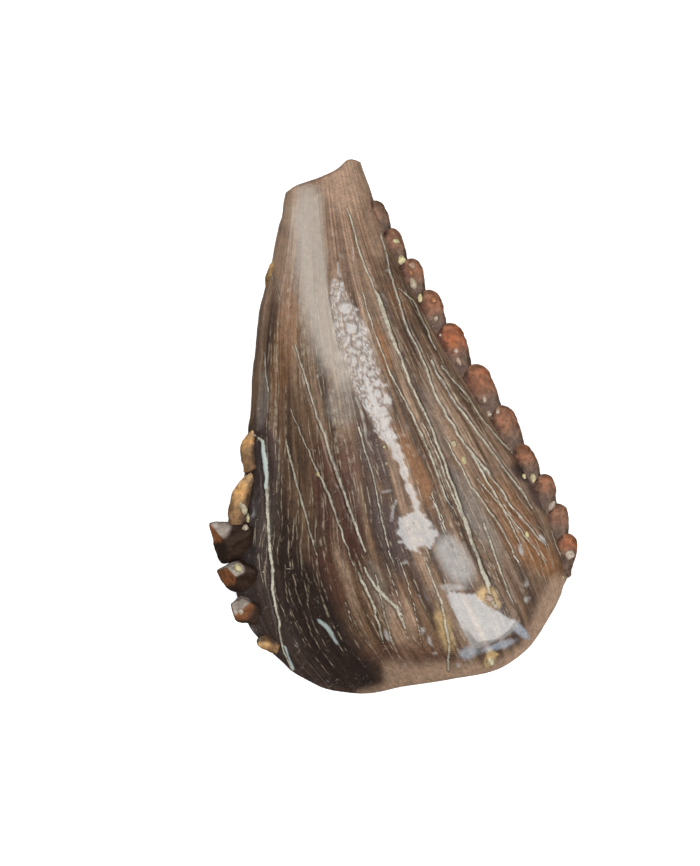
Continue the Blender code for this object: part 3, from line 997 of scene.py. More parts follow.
SPIKES = (
    BrokenSpike(
        (-2.32, -1.6, 0.62), facets(
            (0.05, 1, 0.1, 0.24, 0.5), (-0.8, -0.36, 0.48, 0.125, 0, 1),
            (-0.15, 0.45, 0.88, 0.15, 1, 0.1), (0.35, -0.55, 0.75, 0.19, 0, 0), (1, -0.1, 0, 0.34),
            (0, -1, 0, 0.34), (-0.4, 0.2, -0.9, 0.2), (0.3, -0.3, -0.9, 0.26),
        ), (-2.52, -1.38), 0.25,
    ),
    BrokenSpike(
        (-2.22, -2.06, 0.62), facets(
            (-0.5, 0.85, 0.15, 0.13, 0.6), (0.4, 0.9, 0.2, 0.2, 0.3),
            (-0.76, -0.46, 0.46, 0.095, 0, 0.9), (-0.25, 0.3, 0.9, 0.14, 1),
            (0.2, -0.65, 0.72, 0.17, 0.1), (1, 0, 0, 0.3), (-0.1, -1, 0, 0.26), (0, 0, -1, 0.24),
        ), (-2.3, -2.02), 0.22,
    ),
    BrokenSpike(
        (-2.13, -2.56, 0.62), facets(
            (-0.55, 0.83, 0.1, 0.13, 0.5, 0.3), (0.45, 0.88, 0.1, 0.16, 0.6, 0.2),
            (-0.95, -0.3, 0.1, 0.12, 0.3, 0.9), (-0.3, 0.35, 0.88, 0.12, 1),
            (0.35, -0.4, 0.84, 0.13, 0.1, 1), (1, 0, 0, 0.26), (-0.2, -0.95, 0.1, 0.18, 0.2, 0.8),
            (0, 0, -1, 0.22),
        ), (-2.2, -2.5), 0.24,
    ),
)


@dataclass
class SpikeRow:
    """The three broken spikes at the foot of the front edge, as one piece."""

    spikes: tuple[BrokenSpike, ...] = SPIKES
    rings: int = 60
    sides: int = 90
    sharpness: float = 9.0
    grit_size: float = 0.12
    grit_height: float = 0.07
    map_share: float = 0.97

    def build(self) -> bpy.types.Object:
        """Makes the spikes and dresses them."""
        net = Net(self.sides)
        points, pales, glows = [], [], []
        for number, spike in enumerate(self.spikes):
            places, pale, glow = spike.surface(self.rings, self.sides, self.sharpness)
            grit = soft_noise(places, self.grit_size, 81 + number, 3) - 0.5
            away = places - np.array(spike.middle)
            away = away / np.linalg.norm(away, axis=-1, keepdims=True)
            places = places + away * (self.grit_height * grit)[..., None]
            base = sum(len(part) for part in points)
            inner = slice(1, self.rings)
            points.append(np.vstack([places[inner].reshape(-1, 3), places[0, :1], places[-1, :1]]))
            pales.append(np.concatenate([pale[inner].ravel(), pale[0, :1], pale[-1, :1]]))
            glows.append(np.concatenate([glow[inner].ravel(), glow[0, :1], glow[-1, :1]]))
            shelf = number / len(self.spikes)
            step = self.map_share / len(self.spikes) / self.rings
            levels = shelf + step * np.arange(self.rings + 1)
            net.band(base, levels[1:-1])
            top = base + (self.rings - 2) * self.sides
            net.cone(base, top + self.sides, levels[1], shelf, downwards=True)
            net.cone(top, top + self.sides + 1, levels[-2], levels[-1])
        values = {"pale": np.concatenate(pales), "glow": np.concatenate(glows)}
        piece = mesh_object("front_spikes", np.vstack(points), net.faces, values, net.corners)
        dress(piece, SPIKE.material())
        return piece


@dataclass(frozen=True)
class Grain:
    """A mineral grain stuck on the tooth: where it sits, seen from above, and its half sizes."""

    at: Point
    long: float
    wide: float
    hue: float
    turn: float = 0.0


GRAINS = tuple(Grain((x, y), *rest) for x, y, *rest in (
    (0.04, 2.58, 0.048, 0.034, 0.9, 70), (0.13, 2.3, 0.08, 0.062, 1, 10),
    (0.27, 2.24, 0.06, 0.045, 0.35, 30), (0.25, 2.14, 0.03, 0.026, 0.2),
    (0.28, 1.99, 0.085, 0.05, 0.75, 20), (0.38, 1.78, 0.06, 0.034, 0.9, 10),
    (0.57, 1.76, 0.034, 0.03, 0.1), (0.6, 1.5, 0.036, 0.03, 0.6), (0.88, 1.05, 0.034, 0.03, 0.5),
    (0.91, 0.91, 0.062, 0.024, 0.4, 28), (0.66, 1.27, 0.022, 0.02, 0.55),
    (1.34, 0.17, 0.044, 0.036, 0.55), (1.27, 0.38, 0.05, 0.026, 0.5, 10),
    (1.46, 0.2, 0.04, 0.026, 0.5), (1.82, -0.71, 0.036, 0.034, 0.95), (1.95, -0.73, 0.06, 0.042, 0.85),
    (2.21, -1.11, 0.066, 0.045, 0.6, -30), (2.46, -1.81, 0.07, 0.062, 0.52),
    (2.37, -2.11, 0.026, 0.022, 0.9), (-2.17, -2, 0.058, 0.054, 0.95),
    (-2.1, -1.15, 0.1, 0.045, 0.75, 20), (-2.07, -1.43, 0.06, 0.045, 0.6, -20),
    (-2.03, -1.29, 0.07, 0.034, 0.85), (-2.2, -2.41, 0.045, 0.042, 0.4),
    (-2.13, -2.6, 0.036, 0.034, 0.7), (1.3, -2.37, 0.06, 0.07, 0.42), (1.39, -2.48, 0.04, 0.045, 0.55),
    (1.34, -3.23, 0.08, 0.05, 0.8, 10), (1.85, -1.5, 0.05, 0.024, 0.95, 20),
    (-0.13, -0.29, 0.024, 0.022, 0.9), (-0.1, -0.52, 0.02, 0.018, 0.8),
    (0.83, -0.25, 0.044, 0.036, 0.8), (0.97, -0.48, 0.06, 0.034, 0.95, 20),
    (-1.04, -0.67, 0.034, 0.03, 0.95),
))


@dataclass
class GrainCluster:
    """The loose mineral grains that sit in the crown's pockets and on its cutting teeth."""

    grains: tuple[Grain, ...] = GRAINS
    rings: int = 14
    sides: int = 24
    thickness: float = 0.60
    sunk: float = 0.50
    uneven: float = 0.50
    map_share: float = 0.9
    pole_share: float = 0.96

    def build(self, carriers: Iterable[bpy.types.Object]) -> bpy.types.Object:
        """Sets each grain on what lies under it, as one piece.

        Args:
            carriers: The pieces that may carry a grain.

        Returns:
            The grains as a scene object.
        """
        trees = [surface_of(carrier) for carrier in carriers]
        net = Net(self.sides)
        points, hues = [], []
        for number, grain in enumerate(self.grains):
            height = top_of(trees, grain.at)
            if height is None:
                log.warning("grain %d at %s has nothing under it", number, grain.at)
                continue
            base = sum(len(part) for part in points)
            points.append(self.lump(grain, height, number))
            hues.append(np.full(len(points[-1]), grain.hue))
            shelf = number / len(self.grains)
            tall = self.map_share / len(self.grains)
            net.band(base, shelf + tall * np.arange(self.rings + 1) / self.rings)
            net.lid(base, shelf, downwards=True)
            net.lid(base + self.rings * self.sides, shelf)
        values = {"hue": np.concatenate(hues)}
        piece = mesh_object("mineral_grains", np.vstack(points), net.faces, values, net.corners)
        dress(piece, GRAIN.material())
        return piece

    def lump(self, grain: Grain, height: float, number: int) -> Array:
        """One uneven grain, sunk into what it sits on.

        Args:
            grain: Its place and sizes.
            height: The surface under it.
            number: Which grain, which settles its shape.

        Returns:
            Its places, ring by ring from below.
        """
        unit = ball(self.rings, self.sides, self.pole_share).reshape(-1, 3)
        swell = 1 + self.uneven * (soft_noise(unit + number * 3.7, 0.9, 71, 2) - 0.5) * 2
        lean = math.radians(grain.turn)
        along = unit[:, 1] * grain.long
        beside = unit[:, 0] * grain.wide
        x = beside * math.cos(lean) - along * math.sin(lean)
        y = beside * math.sin(lean) + along * math.cos(lean)
        tall = self.thickness * min(grain.long, grain.wide)
        z = unit[:, 2] * tall
        centre = np.array([grain.at[0], grain.at[1], height + tall * (1 - 2 * self.sunk)])
        return centre + np.stack([x, y, z], axis=-1) * swell[:, None]


def linear(colour: Colour, light: float = 1.0) -> tuple[float, float, float, float]:
    """A display colour from 0 to 255 as a shader colour, made lighter or darker by a factor."""
    shares = np.array(colour) / 255
    values = np.where(shares <= 0.04045, shares / 12.92, ((shares + 0.055) / 1.055) ** 2.4) * light
    return (float(values[0]), float(values[1]), float(values[2]), 1.0)


class Wiring:
    """Adds nodes to one tree and joins them up."""

    def __init__(self, tree: bpy.types.NodeTree) -> None:
        """Starts on an emptied tree."""
        self.tree = tree
        tree.nodes.clear()

    def node(self, kind: str, inputs: dict | None = None, **settings: object) -> bpy.types.Node:
        """A new node.

        Args:
            kind: Its type, less the ShaderNode in front.
            inputs: A value or an output socket for each named or numbered input.
            settings: Values for its own settings.

        Returns:
            The node.
        """
        made = self.tree.nodes.new(kind if kind.startswith("Node") else "ShaderNode" + kind)
        for name, value in settings.items():
            setattr(made, name, value)
        for name, value in (inputs or {}).items():
            if isinstance(value, Socket):
                self.tree.links.new(value, made.inputs[name])
            else:
                made.inputs[name].default_value = value
        return made

    def mask(self, name: str) -> Socket:
        """The values of one of the mesh's masks."""
        return self.node("Attribute", attribute_name=name).outputs["Fac"]

    def number(self, operation: str, first: object, second: object, kept: bool = False) -> Socket:
        """Arithmetic on two values, kept between 0 and 1 where asked."""
        return self.node("Math", {0: first, 1: second}, operation=operation, use_clamp=kept).outputs[0]

    def times(self, first: object, second: object) -> Socket:
        """Two values multiplied, kept between 0 and 1."""
        return self.number("MULTIPLY", first, second, True)

    def larger(self, first: object, second: object) -> Socket:
        """The larger of two values, kept between 0 and 1."""
        return self.number("MAXIMUM", first, second, True)

    def blend(self, share: object, first: object, second: object, mode: str = "MIX") -> Socket:
        """One colour laid over another by a share."""
        made = self.node("Mix", {0: share, 6: first, 7: second}, data_type="RGBA", blend_type=mode)
        return made.outputs[2]

    def shaded(self, colour: object, shade: object) -> Socket:
        """A colour made lighter or darker by a factor."""
        grey = self.node("CombineColor", {0: shade, 1: shade, 2: shade})
        return self.blend(1.0, colour, grey.outputs[0], "MULTIPLY")

    def level(self, share: object, first: object, second: object) -> Socket:
        """A value between two others, by a share."""
        return self.node("Mix", {0: share, 2: first, 3: second}, data_type="FLOAT").outputs[0]

    def rise(self, value: object, low: float, high: float) -> Socket:
        """0 below low, 1 above high and a smooth rise between."""
        made = self.node(
            "MapRange",
            {"Value": value, "From Min": low, "From Max": high},
            interpolation_type="SMOOTHSTEP",
        )
        return made.outputs["Result"]

    def noise(self, places: object, scale: object, detail: float = 3.0) -> Socket:
        """Soft noise, from 0 to 1."""
        return self.node("TexNoise", {"Vector": places, "Scale": scale, "Detail": detail}).outputs["Fac"]


class Effect(Enum):
    """Effects that several finishes share, each a group of shader nodes."""

    GROWTH_STREAKS = "growth_streaks"
    CLOUDY_PATCHES = "cloudy_patches"
    MINERAL_SPECKS = "mineral_specks"


@dataclass(frozen=True)
class GroupSocket:
    """A named way in or out of a group of nodes."""

    name: str
    kind: str
    value: float | None = None


def new_group(effect: Effect, inputs: Sequence[GroupSocket],
              outputs: Sequence[GroupSocket]) -> tuple[Wiring, dict[str, Socket]]:
    """A group of nodes that holds only its ways in and out.

    Args:
        effect: Which effect it holds.
        inputs: Its ways in.
        outputs: Its ways out.

    Returns:
        Its wiring, and the sockets of its ways in, by name.
    """
    group = bpy.data.node_groups.new(effect.value, "ShaderNodeTree")
    for sockets, way in ((inputs, "INPUT"), (outputs, "OUTPUT")):
        for socket in sockets:
            kind = "NodeSocket" + socket.kind
            made = group.interface.new_socket(name=socket.name, in_out=way, socket_type=kind)
            if socket.value is not None:
                made.default_value = socket.value
    wiring = Wiring(group)
    start = wiring.node("NodeGroupInput")
    return wiring, {socket.name: start.outputs[socket.name] for socket in inputs}


def growth_streaks() -> bpy.types.NodeTree:
    """Fine streaks that run along the crown's growth, from light to dark."""
    wiring, start = new_group(
        Effect.GROWTH_STREAKS,
        (
            GroupSocket("Lay", "Vector"),
            GroupSocket("Across", "Float", 40.0),
            GroupSocket("Along", "Float", 3.0),
            GroupSocket("Contrast", "Float", 0.5),
        ),
        (GroupSocket("Streak", "Float"),),
    )
    parts = wiring.node("SeparateXYZ", {0: start["Lay"]})
    across = wiring.number("MULTIPLY", parts.outputs["X"], start["Across"])
    along = wiring.number("MULTIPLY", parts.outputs["Y"], start["Along"])
    side = wiring.number("MULTIPLY", parts.outputs["Z"], 17.0)
    drawn = wiring.node("CombineXYZ", {"X": across, "Y": along, "Z": side})
    noise = wiring.noise(drawn.outputs[0], 1.0, 4.0)
    centred = wiring.number("SUBTRACT", noise, 0.5)
    stretched = wiring.number("ADD", 1.0, start["Contrast"])
    scaled = wiring.number("MULTIPLY", centred, stretched)
    doubled = wiring.number("MULTIPLY", scaled, 2.0)
    streak = wiring.number("ADD", doubled, 0.5, True)
    wiring.node("NodeGroupOutput", {"Streak": streak})
    return wiring.tree


def cloudy_patches() -> bpy.types.NodeTree:
    """Soft patches, such as staining that soaked in unevenly."""
    wiring, start = new_group(
        Effect.CLOUDY_PATCHES,
        (
            GroupSocket("Place", "Vector"),
            GroupSocket("Size", "Float", 0.5),
            GroupSocket("Spread", "Float", 0.5),
        ),
        (GroupSocket("Patch", "Float"),),
    )
    scale = wiring.number("DIVIDE", 1.0, start["Size"])
    noise = wiring.noise(start["Place"], scale, 4.0)
    low = wiring.number("SUBTRACT", 0.68, start["Spread"])
    past = wiring.number("SUBTRACT", noise, low)
    patch = wiring.times(past, 5.0)
    wiring.node("NodeGroupOutput", {"Patch": patch})
    return wiring.tree


def mineral_specks() -> bpy.types.NodeTree:
    """Small pale specks of mineral, and how far they stand up."""
    wiring, start = new_group(
        Effect.MINERAL_SPECKS,
        (
            GroupSocket("Place", "Vector"),
            GroupSocket("Size", "Float", 0.05),
            GroupSocket("Amount", "Float", 0.3),
        ),
        (GroupSocket("Speck", "Float"), GroupSocket("Rise", "Float")),
    )
    scale = wiring.number("DIVIDE", 1.0, start["Size"])
    bend = wiring.noise(start["Place"], 7.0, 2.0)
    moved = wiring.node("VectorMath", {0: start["Place"], 1: bend}, operation="ADD")
    cells = wiring.node("TexVoronoi", {"Vector": moved.outputs[0], "Scale": scale}, feature="F1")
    chosen = wiring.node("SeparateColor", {0: cells.outputs["Color"]})
    kept = wiring.number("LESS_THAN", chosen.outputs[0], start["Amount"])
    dot = wiring.rise(cells.outputs["Distance"], 0.42, 0.16)
    uneven = wiring.level(chosen.outputs[1], 0.25, 1.0)
    speck = wiring.times(wiring.times(dot, uneven), kept)
    grit = wiring.noise(start["Place"], scale, 3.0)
    lift = wiring.times(speck, 0.5)
    rise = wiring.number("ADD", lift, wiring.times(grit, 0.5), True)
    wiring.node("NodeGroupOutput", {"Speck": speck, "Rise": rise})
    return wiring.tree


BUILDERS = {
    Effect.GROWTH_STREAKS: growth_streaks,
    Effect.CLOUDY_PATCHES: cloudy_patches,
    Effect.MINERAL_SPECKS: mineral_specks,
}


def effect(wiring: Wiring, kind: Effect, **inputs: object) -> bpy.types.Node:
    """Puts an effect into a material. Its group is built the first time that a finish asks for it.

    Args:
        wiring: The material's wiring.
        kind: Which effect.
        inputs: Its values or sockets, by name.

    Returns:
        The group's node.
    """
    return wiring.node("Group", inputs, node_tree=bpy.data.node_groups.get(kind.value) or BUILDERS[kind]())


def streaky(wiring: Wiring, lay: Socket, across: float, along: float, contrast: float) -> Socket:
    """The growth streaks, from 0 to 1."""
    made = effect(wiring, Effect.GROWTH_STREAKS, Lay=lay, Across=across, Along=along, Contrast=contrast)
    return made.outputs["Streak"]


def cloudy(wiring: Wiring, place: Socket, size: float, spread: float) -> Socket:
    """The cloudy patches, from 0 to 1."""
    return effect(wiring, Effect.CLOUDY_PATCHES, Place=place, Size=size, Spread=spread).outputs["Patch"]


def specked(wiring: Wiring, place: Socket, size: float, amount: float) -> bpy.types.Node:
    """The mineral specks, with how much of each is at a place and how far it stands up."""
    return effect(wiring, Effect.MINERAL_SPECKS, Place=place, Size=size, Amount=amount)


def new_material(name: str) -> tuple[bpy.types.Material, Wiring]:
    """A material with an empty tree."""
    material = bpy.data.materials.new(name)
    material.use_nodes = True
    return material, Wiring(material.node_tree)


def place_in_mm(wiring: Wiring) -> Socket:
    """Where a point lies on the piece, in millimetres."""
    there = wiring.node("TexCoord").outputs["Object"]
    return wiring.node("VectorMath", {0: there, "Scale": 1 / METRES_PER_MM}, operation="SCALE").outputs[0]


@dataclass(frozen=True)
class Surface:
    """What a finish feeds to its shader."""

    colour: object
    roughness: object
    coat: object
    rise: object
    depth: float
    ior: float = 1.55
    coat_roughness: float = 0.08
    under_shine: float = 0.09

    def finish(self, wiring: Wiring) -> None:
        """Adds the shader and joins everything to it."""
        depth = self.depth * METRES_PER_MM
        bump = wiring.node("Bump", {"Height": self.rise, "Distance": depth, "Strength": 1.0})
        shader = wiring.node("BsdfPrincipled", {
            "Base Color": self.colour,
            "Roughness": self.roughness,
            "Coat Weight": self.coat,
            "Normal": bump.outputs[0],
            "IOR": self.ior,
            "Specular IOR Level": self.under_shine,
            "Coat Roughness": self.coat_roughness,
        })
        wiring.node("OutputMaterial", {"Surface": shader.outputs[0]})


@dataclass(frozen=True)
class EnamelFinish:
    """Fossil enamel: brown, streaked along its growth, stained, veined with pale mineral, and with painted
    highlight and shade.
    """

    name: str = "fossil_enamel"
    brightness: float = 0.75
    dark_brown: Colour = (78, 58, 45)
    brown: Colour = (112, 86, 65)
    tan: Colour = (150, 123, 100)
    tip: Colour = (168, 133, 108)
    stains_and_painted_light: tuple[tuple[Tint, Colour, float], ...] = (
        (Tint.RED, (88, 52, 42), 0.80),
        (Tint.ORANGE, (150, 102, 62), 0.80),
        (Tint.VIOLET, (76, 62, 62), 0.85),
        (Tint.GREY, (146, 139, 131), 0.70),
        (Tint.DARK, (40, 30, 28), 0.94),
        (Tint.TAN, (196, 163, 136), 0.90),
        # Partly painted reflection.
        (Tint.CREAM_AND_SHEEN, (178, 163, 146), 0.90),
        # Partly painted highlight.
        (Tint.CRUST_AND_SHEEN, (172, 158, 149), 0.60),
        (Tint.YELLOW, (230, 194, 134), 0.85),
        # Painted highlight fringe.
        (Tint.BLUE, (206, 218, 232), 0.75),
        # Partly painted highlight.
        (Tint.CHALK_AND_HIGHLIGHT, (202, 200, 197), 0.88),
        # Painted shade in the notches.
        (Tint.POCKET_SHADE, (26, 19, 17), 0.95),
    )
    vein: Colour = (208, 202, 182)
    blue_vein: Colour = (200, 214, 210)
    vein_shadow: Colour = (44, 32, 25)
    hair: Colour = (186, 170, 146)
    speck: Colour = (200, 182, 158)
    pit: Colour = (84, 66, 52)
    pit_light: tuple[float, float] = (0.6, 1.5)
    hair_edge: tuple[float, float] = (0.15, 0.7)
    hair_strength: float = 0.66
    ragged_size: float = 34.0
    ragged_reach: float = 0.30
    shadow_edge: tuple[float, float] = (0.34, 0.64)
    shadow_strength: float = 0.40
    vein_edge: tuple[float, float] = (0.76, 0.87)
    vein_strength: tuple[float, float] = (0.45, 0.95)
    blue_strength: float = 0.85
    speck_strength: float = 0.6
    glint_strength: float = 0.3
    roughness: tuple[float, float] = (0.42, 0.75)
    dull_coat: float = 0.03
    tip_strength: float = 0.6
    streak_shade: tuple[float, float] = (0.62, 1.32)
    mottle_shade: tuple[float, float] = (0.72, 1.26)
    calm_mottle: float = 0.35

    def material(self) -> bpy.types.Material:
        """Builds the enamel's nodes."""
        material, wiring = new_material(self.name)
        lay = wiring.node("Attribute", attribute_name="lay").outputs["Vector"]
        place = place_in_mm(wiring)
        colour = self.streaked(wiring, lay)
        colour = self.stained(wiring, colour, place, lay)
        colour = self.mottled(wiring, colour, place)
        colour, vein = self.veined(wiring, colour, place)
        specks = specked(wiring, place, 0.048, 0.16)
        dusty = cloudy(wiring, place, 0.35, 0.32)
        pale = wiring.larger(wiring.mask("cream_and_sheen"), wiring.mask("chalk_and_highlight"))
        calm = wiring.number("SUBTRACT", 1.0, pale, True)
        speck = wiring.times(specks.outputs["Speck"], wiring.times(calm, self.speck_strength))
        speck = wiring.times(speck, dusty)
        colour = wiring.blend(speck, colour, linear(self.speck, self.brightness))
        pit = wiring.mask("pit")
        rough_pit = cloudy(wiring, place, 0.16, 0.3)
        low, high = (linear(self.pit, self.brightness * light) for light in self.pit_light)
        colour = wiring.blend(pit, colour, wiring.blend(rough_pit, low, high))
        dull = wiring.larger(pit, wiring.mask("pocket_shade"))
        matt = wiring.larger(dull, wiring.times(vein, 0.4))
        roughness = wiring.level(matt, *self.roughness)
        glints = specked(wiring, place, 0.045, 0.12)
        glint = wiring.times(glints.outputs["Speck"], self.glint_strength)
        coat = wiring.level(dull, wiring.larger(wiring.mask("polish"), glint), self.dull_coat)
        fine = streaky(wiring, lay, 150.0, 9.0, 0.2)
        grit = wiring.level(0.55, fine, specks.outputs["Rise"])
        Surface(colour, roughness, coat, grit, depth=0.010).finish(wiring)
        return material

    def streaked(self, wiring: Wiring, lay: Socket) -> Socket:
        """The enamel's own streaky brown, paler towards the worn tip."""
        broad = streaky(wiring, lay, 20.0, 2.2, 0.8)
        fine = streaky(wiring, lay, 75.0, 5.0, 1.0)
        light = self.brightness
        deep = wiring.rise(broad, 0.1, 0.55)
        base = wiring.blend(deep, linear(self.dark_brown, light), linear(self.brown, light))
        base = wiring.blend(wiring.rise(broad, 0.5, 1.0), base, linear(self.tan, light))
        parts = wiring.node("SeparateXYZ", {0: lay})
        top = wiring.rise(parts.outputs["Y"], 0.34, 0.0)
        base = wiring.blend(wiring.times(top, self.tip_strength), base, linear(self.tip, light))
        return wiring.shaded(base, wiring.level(fine, *self.streak_shade))

    def mottled(self, wiring: Wiring, colour: Socket, place: Socket) -> Socket:
        """Breaks the colour up with a fine mottle, like that of a polished mineral."""
        coarse = wiring.noise(place, 11.0, 3.0)
        fine = wiring.noise(place, 38.0, 2.0)
        both = wiring.rise(wiring.level(0.5, coarse, fine), 0.32, 0.68)
        pale = wiring.larger(wiring.mask("cream_and_sheen"), wiring.mask("chalk_and_highlight"))
        strength = wiring.level(pale, 1.0, self.calm_mottle)
        return wiring.shaded(colour, wiring.level(strength, 1.0, wiring.level(both, *self.mottle_shade)))

    def stained(self, wiring: Wiring, colour: Socket, place: Socket, lay: Socket) -> Socket:
        """Lays each stain, and the painted highlight and shade, over the brown, broken up by streaks and
        clouds.

        Args:
            wiring: The material's wiring.
            colour: The colour so far.
            place: Where a point lies, in millimetres.
            lay: Its place along and across the crown.

        Returns:
            The stained colour.
        """
        clouds = cloudy(wiring, place, 0.24, 0.32)
        streaks = streaky(wiring, lay, 48.0, 3.4, 0.8)
        broken = wiring.level(0.5, clouds, streaks)
        for tint, tone, strength in self.stains_and_painted_light:
            share = wiring.times(wiring.mask(tint.value), strength)
            uneven = wiring.level(broken, 0.35 + 0.6 * strength, 1.0)
            colour = wiring.blend(wiring.times(share, uneven), colour, linear(tone, self.brightness))
        return colour

    def veined(self, wiring: Wiring, colour: Socket, place: Socket) -> tuple[Socket, Socket]:
        """Draws the hairline cracks and the mineral-filled ones.

        Args:
            wiring: The material's wiring.
            colour: The colour so far.
            place: Where a point lies, in millimetres.

        Returns:
            The colour and the veins' mask.
        """
        clouds = cloudy(wiring, place, 0.11, 0.30)
        hair = wiring.times(wiring.rise(wiring.mask("hair"), *self.hair_edge), clouds)
        hair = wiring.times(hair, self.hair_strength)
        colour = wiring.blend(hair, colour, linear(self.hair, self.brightness))
        ragged = wiring.number("SUBTRACT", wiring.noise(place, self.ragged_size, 3.0), 0.5)
        torn = wiring.number("MULTIPLY", ragged, self.ragged_reach)
        near = wiring.number("ADD", wiring.mask("vein"), torn, True)
        shadow = wiring.times(wiring.rise(near, *self.shadow_edge), self.shadow_strength)
        colour = wiring.blend(shadow, colour, linear(self.vein_shadow, self.brightness))
        vein = wiring.rise(near, *self.vein_edge)
        patchy = wiring.level(clouds, *self.vein_strength)
        colour = wiring.blend(wiring.times(vein, patchy), colour, linear(self.vein, self.brightness))
        blue = wiring.times(wiring.mask("blue_vein"), self.blue_strength)
        colour = wiring.blend(blue, colour, linear(self.blue_vein, self.brightness))
        return colour, vein


@dataclass(frozen=True)
class ToothFinish:
    """Enamel of the small cutting teeth: glassy, dark at the root, stained towards the end, with painted
    shade on its inner side and in its notch.
    """

    name: str
    root: Colour
    body: Colour
    glow: Colour
    end: Colour
    speck: Colour
    end_from: float
    end_share: float
    # Painted shade on the inner side and in the notches.
    hollow_shade: Colour = (62, 46, 42)
    brightness: float = 0.62

    def material(self) -> bpy.types.Material:
        """Builds the finish's nodes."""
        material, wiring = new_material(self.name)
        place = place_in_mm(wiring)
        way = wiring.mask("way")
        light = self.brightness
        clouds = cloudy(wiring, place, 0.16, 0.27)
        fine = cloudy(wiring, place, 0.09, 0.27)
        specks = specked(wiring, place, 0.055, 0.30)
        rooted = wiring.rise(way, 0.15, 0.55)
        colour = wiring.blend(rooted, linear(self.root, light), linear(self.body, light))
        lit = wiring.times(wiring.mask("glow"), wiring.rise(way, 0.30, 0.62))
        patchy = wiring.level(clouds, 0.72, 1.0)
        colour = wiring.blend(wiring.times(lit, patchy), colour, linear(self.glow, light))
        tip = wiring.times(wiring.rise(way, self.end_from, 1.0), self.end_share)
        colour = wiring.blend(tip, colour, linear(self.end, light))
        # Painted shade on the inner side and in the notch between teeth.
        inner = wiring.times(wiring.rise(wiring.mask("inner"), 0.05, 0.7), 0.8)
        colour = wiring.blend(inner, colour, linear(self.hollow_shade, light))
        shade = wiring.level(fine, 0.66, 1.30)
        colour = wiring.shaded(colour, shade)
        speck = wiring.times(specks.outputs["Speck"], 0.5)
        colour = wiring.blend(speck, colour, linear(self.speck, light))
        roughness = wiring.level(fine, 0.40, 0.60)
        coat = wiring.level(clouds, 0.02, 0.08)
        grit = wiring.level(0.5, specks.outputs["Rise"], fine)
        Surface(colour, roughness, coat, grit, depth=0.020, under_shine=0.05).finish(wiring)
        return material


@dataclass(frozen=True)
class SpikeFinish:
    """Broken enamel of the front spikes: nearly black, with pale worn faces and amber borders."""

    name: str = "broken_spikes"
    body: Colour = (50, 36, 28)
    amber: Colour = (150, 96, 60)
    worn: Colour = (186, 172, 160)
    speck: Colour = (110, 94, 80)
    brightness: float = 0.75

    def material(self) -> bpy.types.Material:
        """Builds the finish's nodes."""
        material, wiring = new_material(self.name)
        place = place_in_mm(wiring)
        light = self.brightness
        clouds = cloudy(wiring, place, 0.11, 0.27)
        specks = specked(wiring, place, 0.050, 0.30)
        patchy = wiring.level(clouds, 0.55, 1.0)
        amber = wiring.times(wiring.rise(wiring.mask("glow"), 0.1, 0.8), patchy)
        colour = wiring.blend(amber, linear(self.body, light), linear(self.amber, light))
        pale = wiring.times(wiring.rise(wiring.mask("pale"), 0.2, 0.9), patchy)
        colour = wiring.blend(pale, colour, linear(self.worn, light))
        speck = wiring.times(specks.outputs["Speck"], 0.4)
        colour = wiring.blend(speck, colour, linear(self.speck, light))
        roughness = wiring.level(clouds, 0.42, 0.60)
        coat = wiring.level(pale, 0.0, 0.10)
        rise = specks.outputs["Rise"]
        Surface(colour, roughness, coat, rise, depth=0.012, under_shine=0.04).finish(wiring)
        return material


@dataclass(frozen=True)
class GrainFinish:
    """Glassy mineral grains, from amber through grey to yellow."""

    name: str = "mineral_grain"
    amber: Colour = (190, 122, 66)
    pale: Colour = (190, 172, 152)
    yellow: Colour = (214, 202, 148)
    brightness: float = 0.62

    def material(self) -> bpy.types.Material:
        """Builds the finish's nodes."""
        material, wiring = new_material(self.name)
        place = place_in_mm(wiring)
        hue = wiring.mask("hue")
        light = self.brightness
        greyed = wiring.rise(hue, 0.15, 0.55)
        colour = wiring.blend(greyed, linear(self.amber, light), linear(self.pale, light))
        colour = wiring.blend(wiring.rise(hue, 0.65, 0.95), colour, linear(self.yellow, light))
        clouds = cloudy(wiring, place, 0.05, 0.27)
        shade = wiring.level(clouds, 0.72, 1.12)
        colour = wiring.shaded(colour, shade)
        specks = specked(wiring, place, 0.03, 0.2)
        roughness = wiring.level(clouds, 0.25, 0.45)
        coat = wiring.level(specks.outputs["Speck"], 0.3, 0.1)
        Surface(colour, roughness, coat, specks.outputs["Rise"], depth=0.008).finish(wiring)
        return material


ENAMEL = EnamelFinish()
AMBER = ToothFinish(
    "amber_cutting_teeth", (102, 80, 68), (126, 97, 78), (168, 96, 58), (148, 118, 98), (190, 170, 150),
    0.80, 0.5, brightness=0.74,
)
GOLD = ToothFinish(
    "golden_scallops", (124, 92, 60), (176, 142, 96), (204, 150, 90), (206, 186, 150), (216, 202, 174),
    0.60, 0.5, brightness=0.80,
)
SPIKE = SpikeFinish()
GRAIN = GrainFinish()


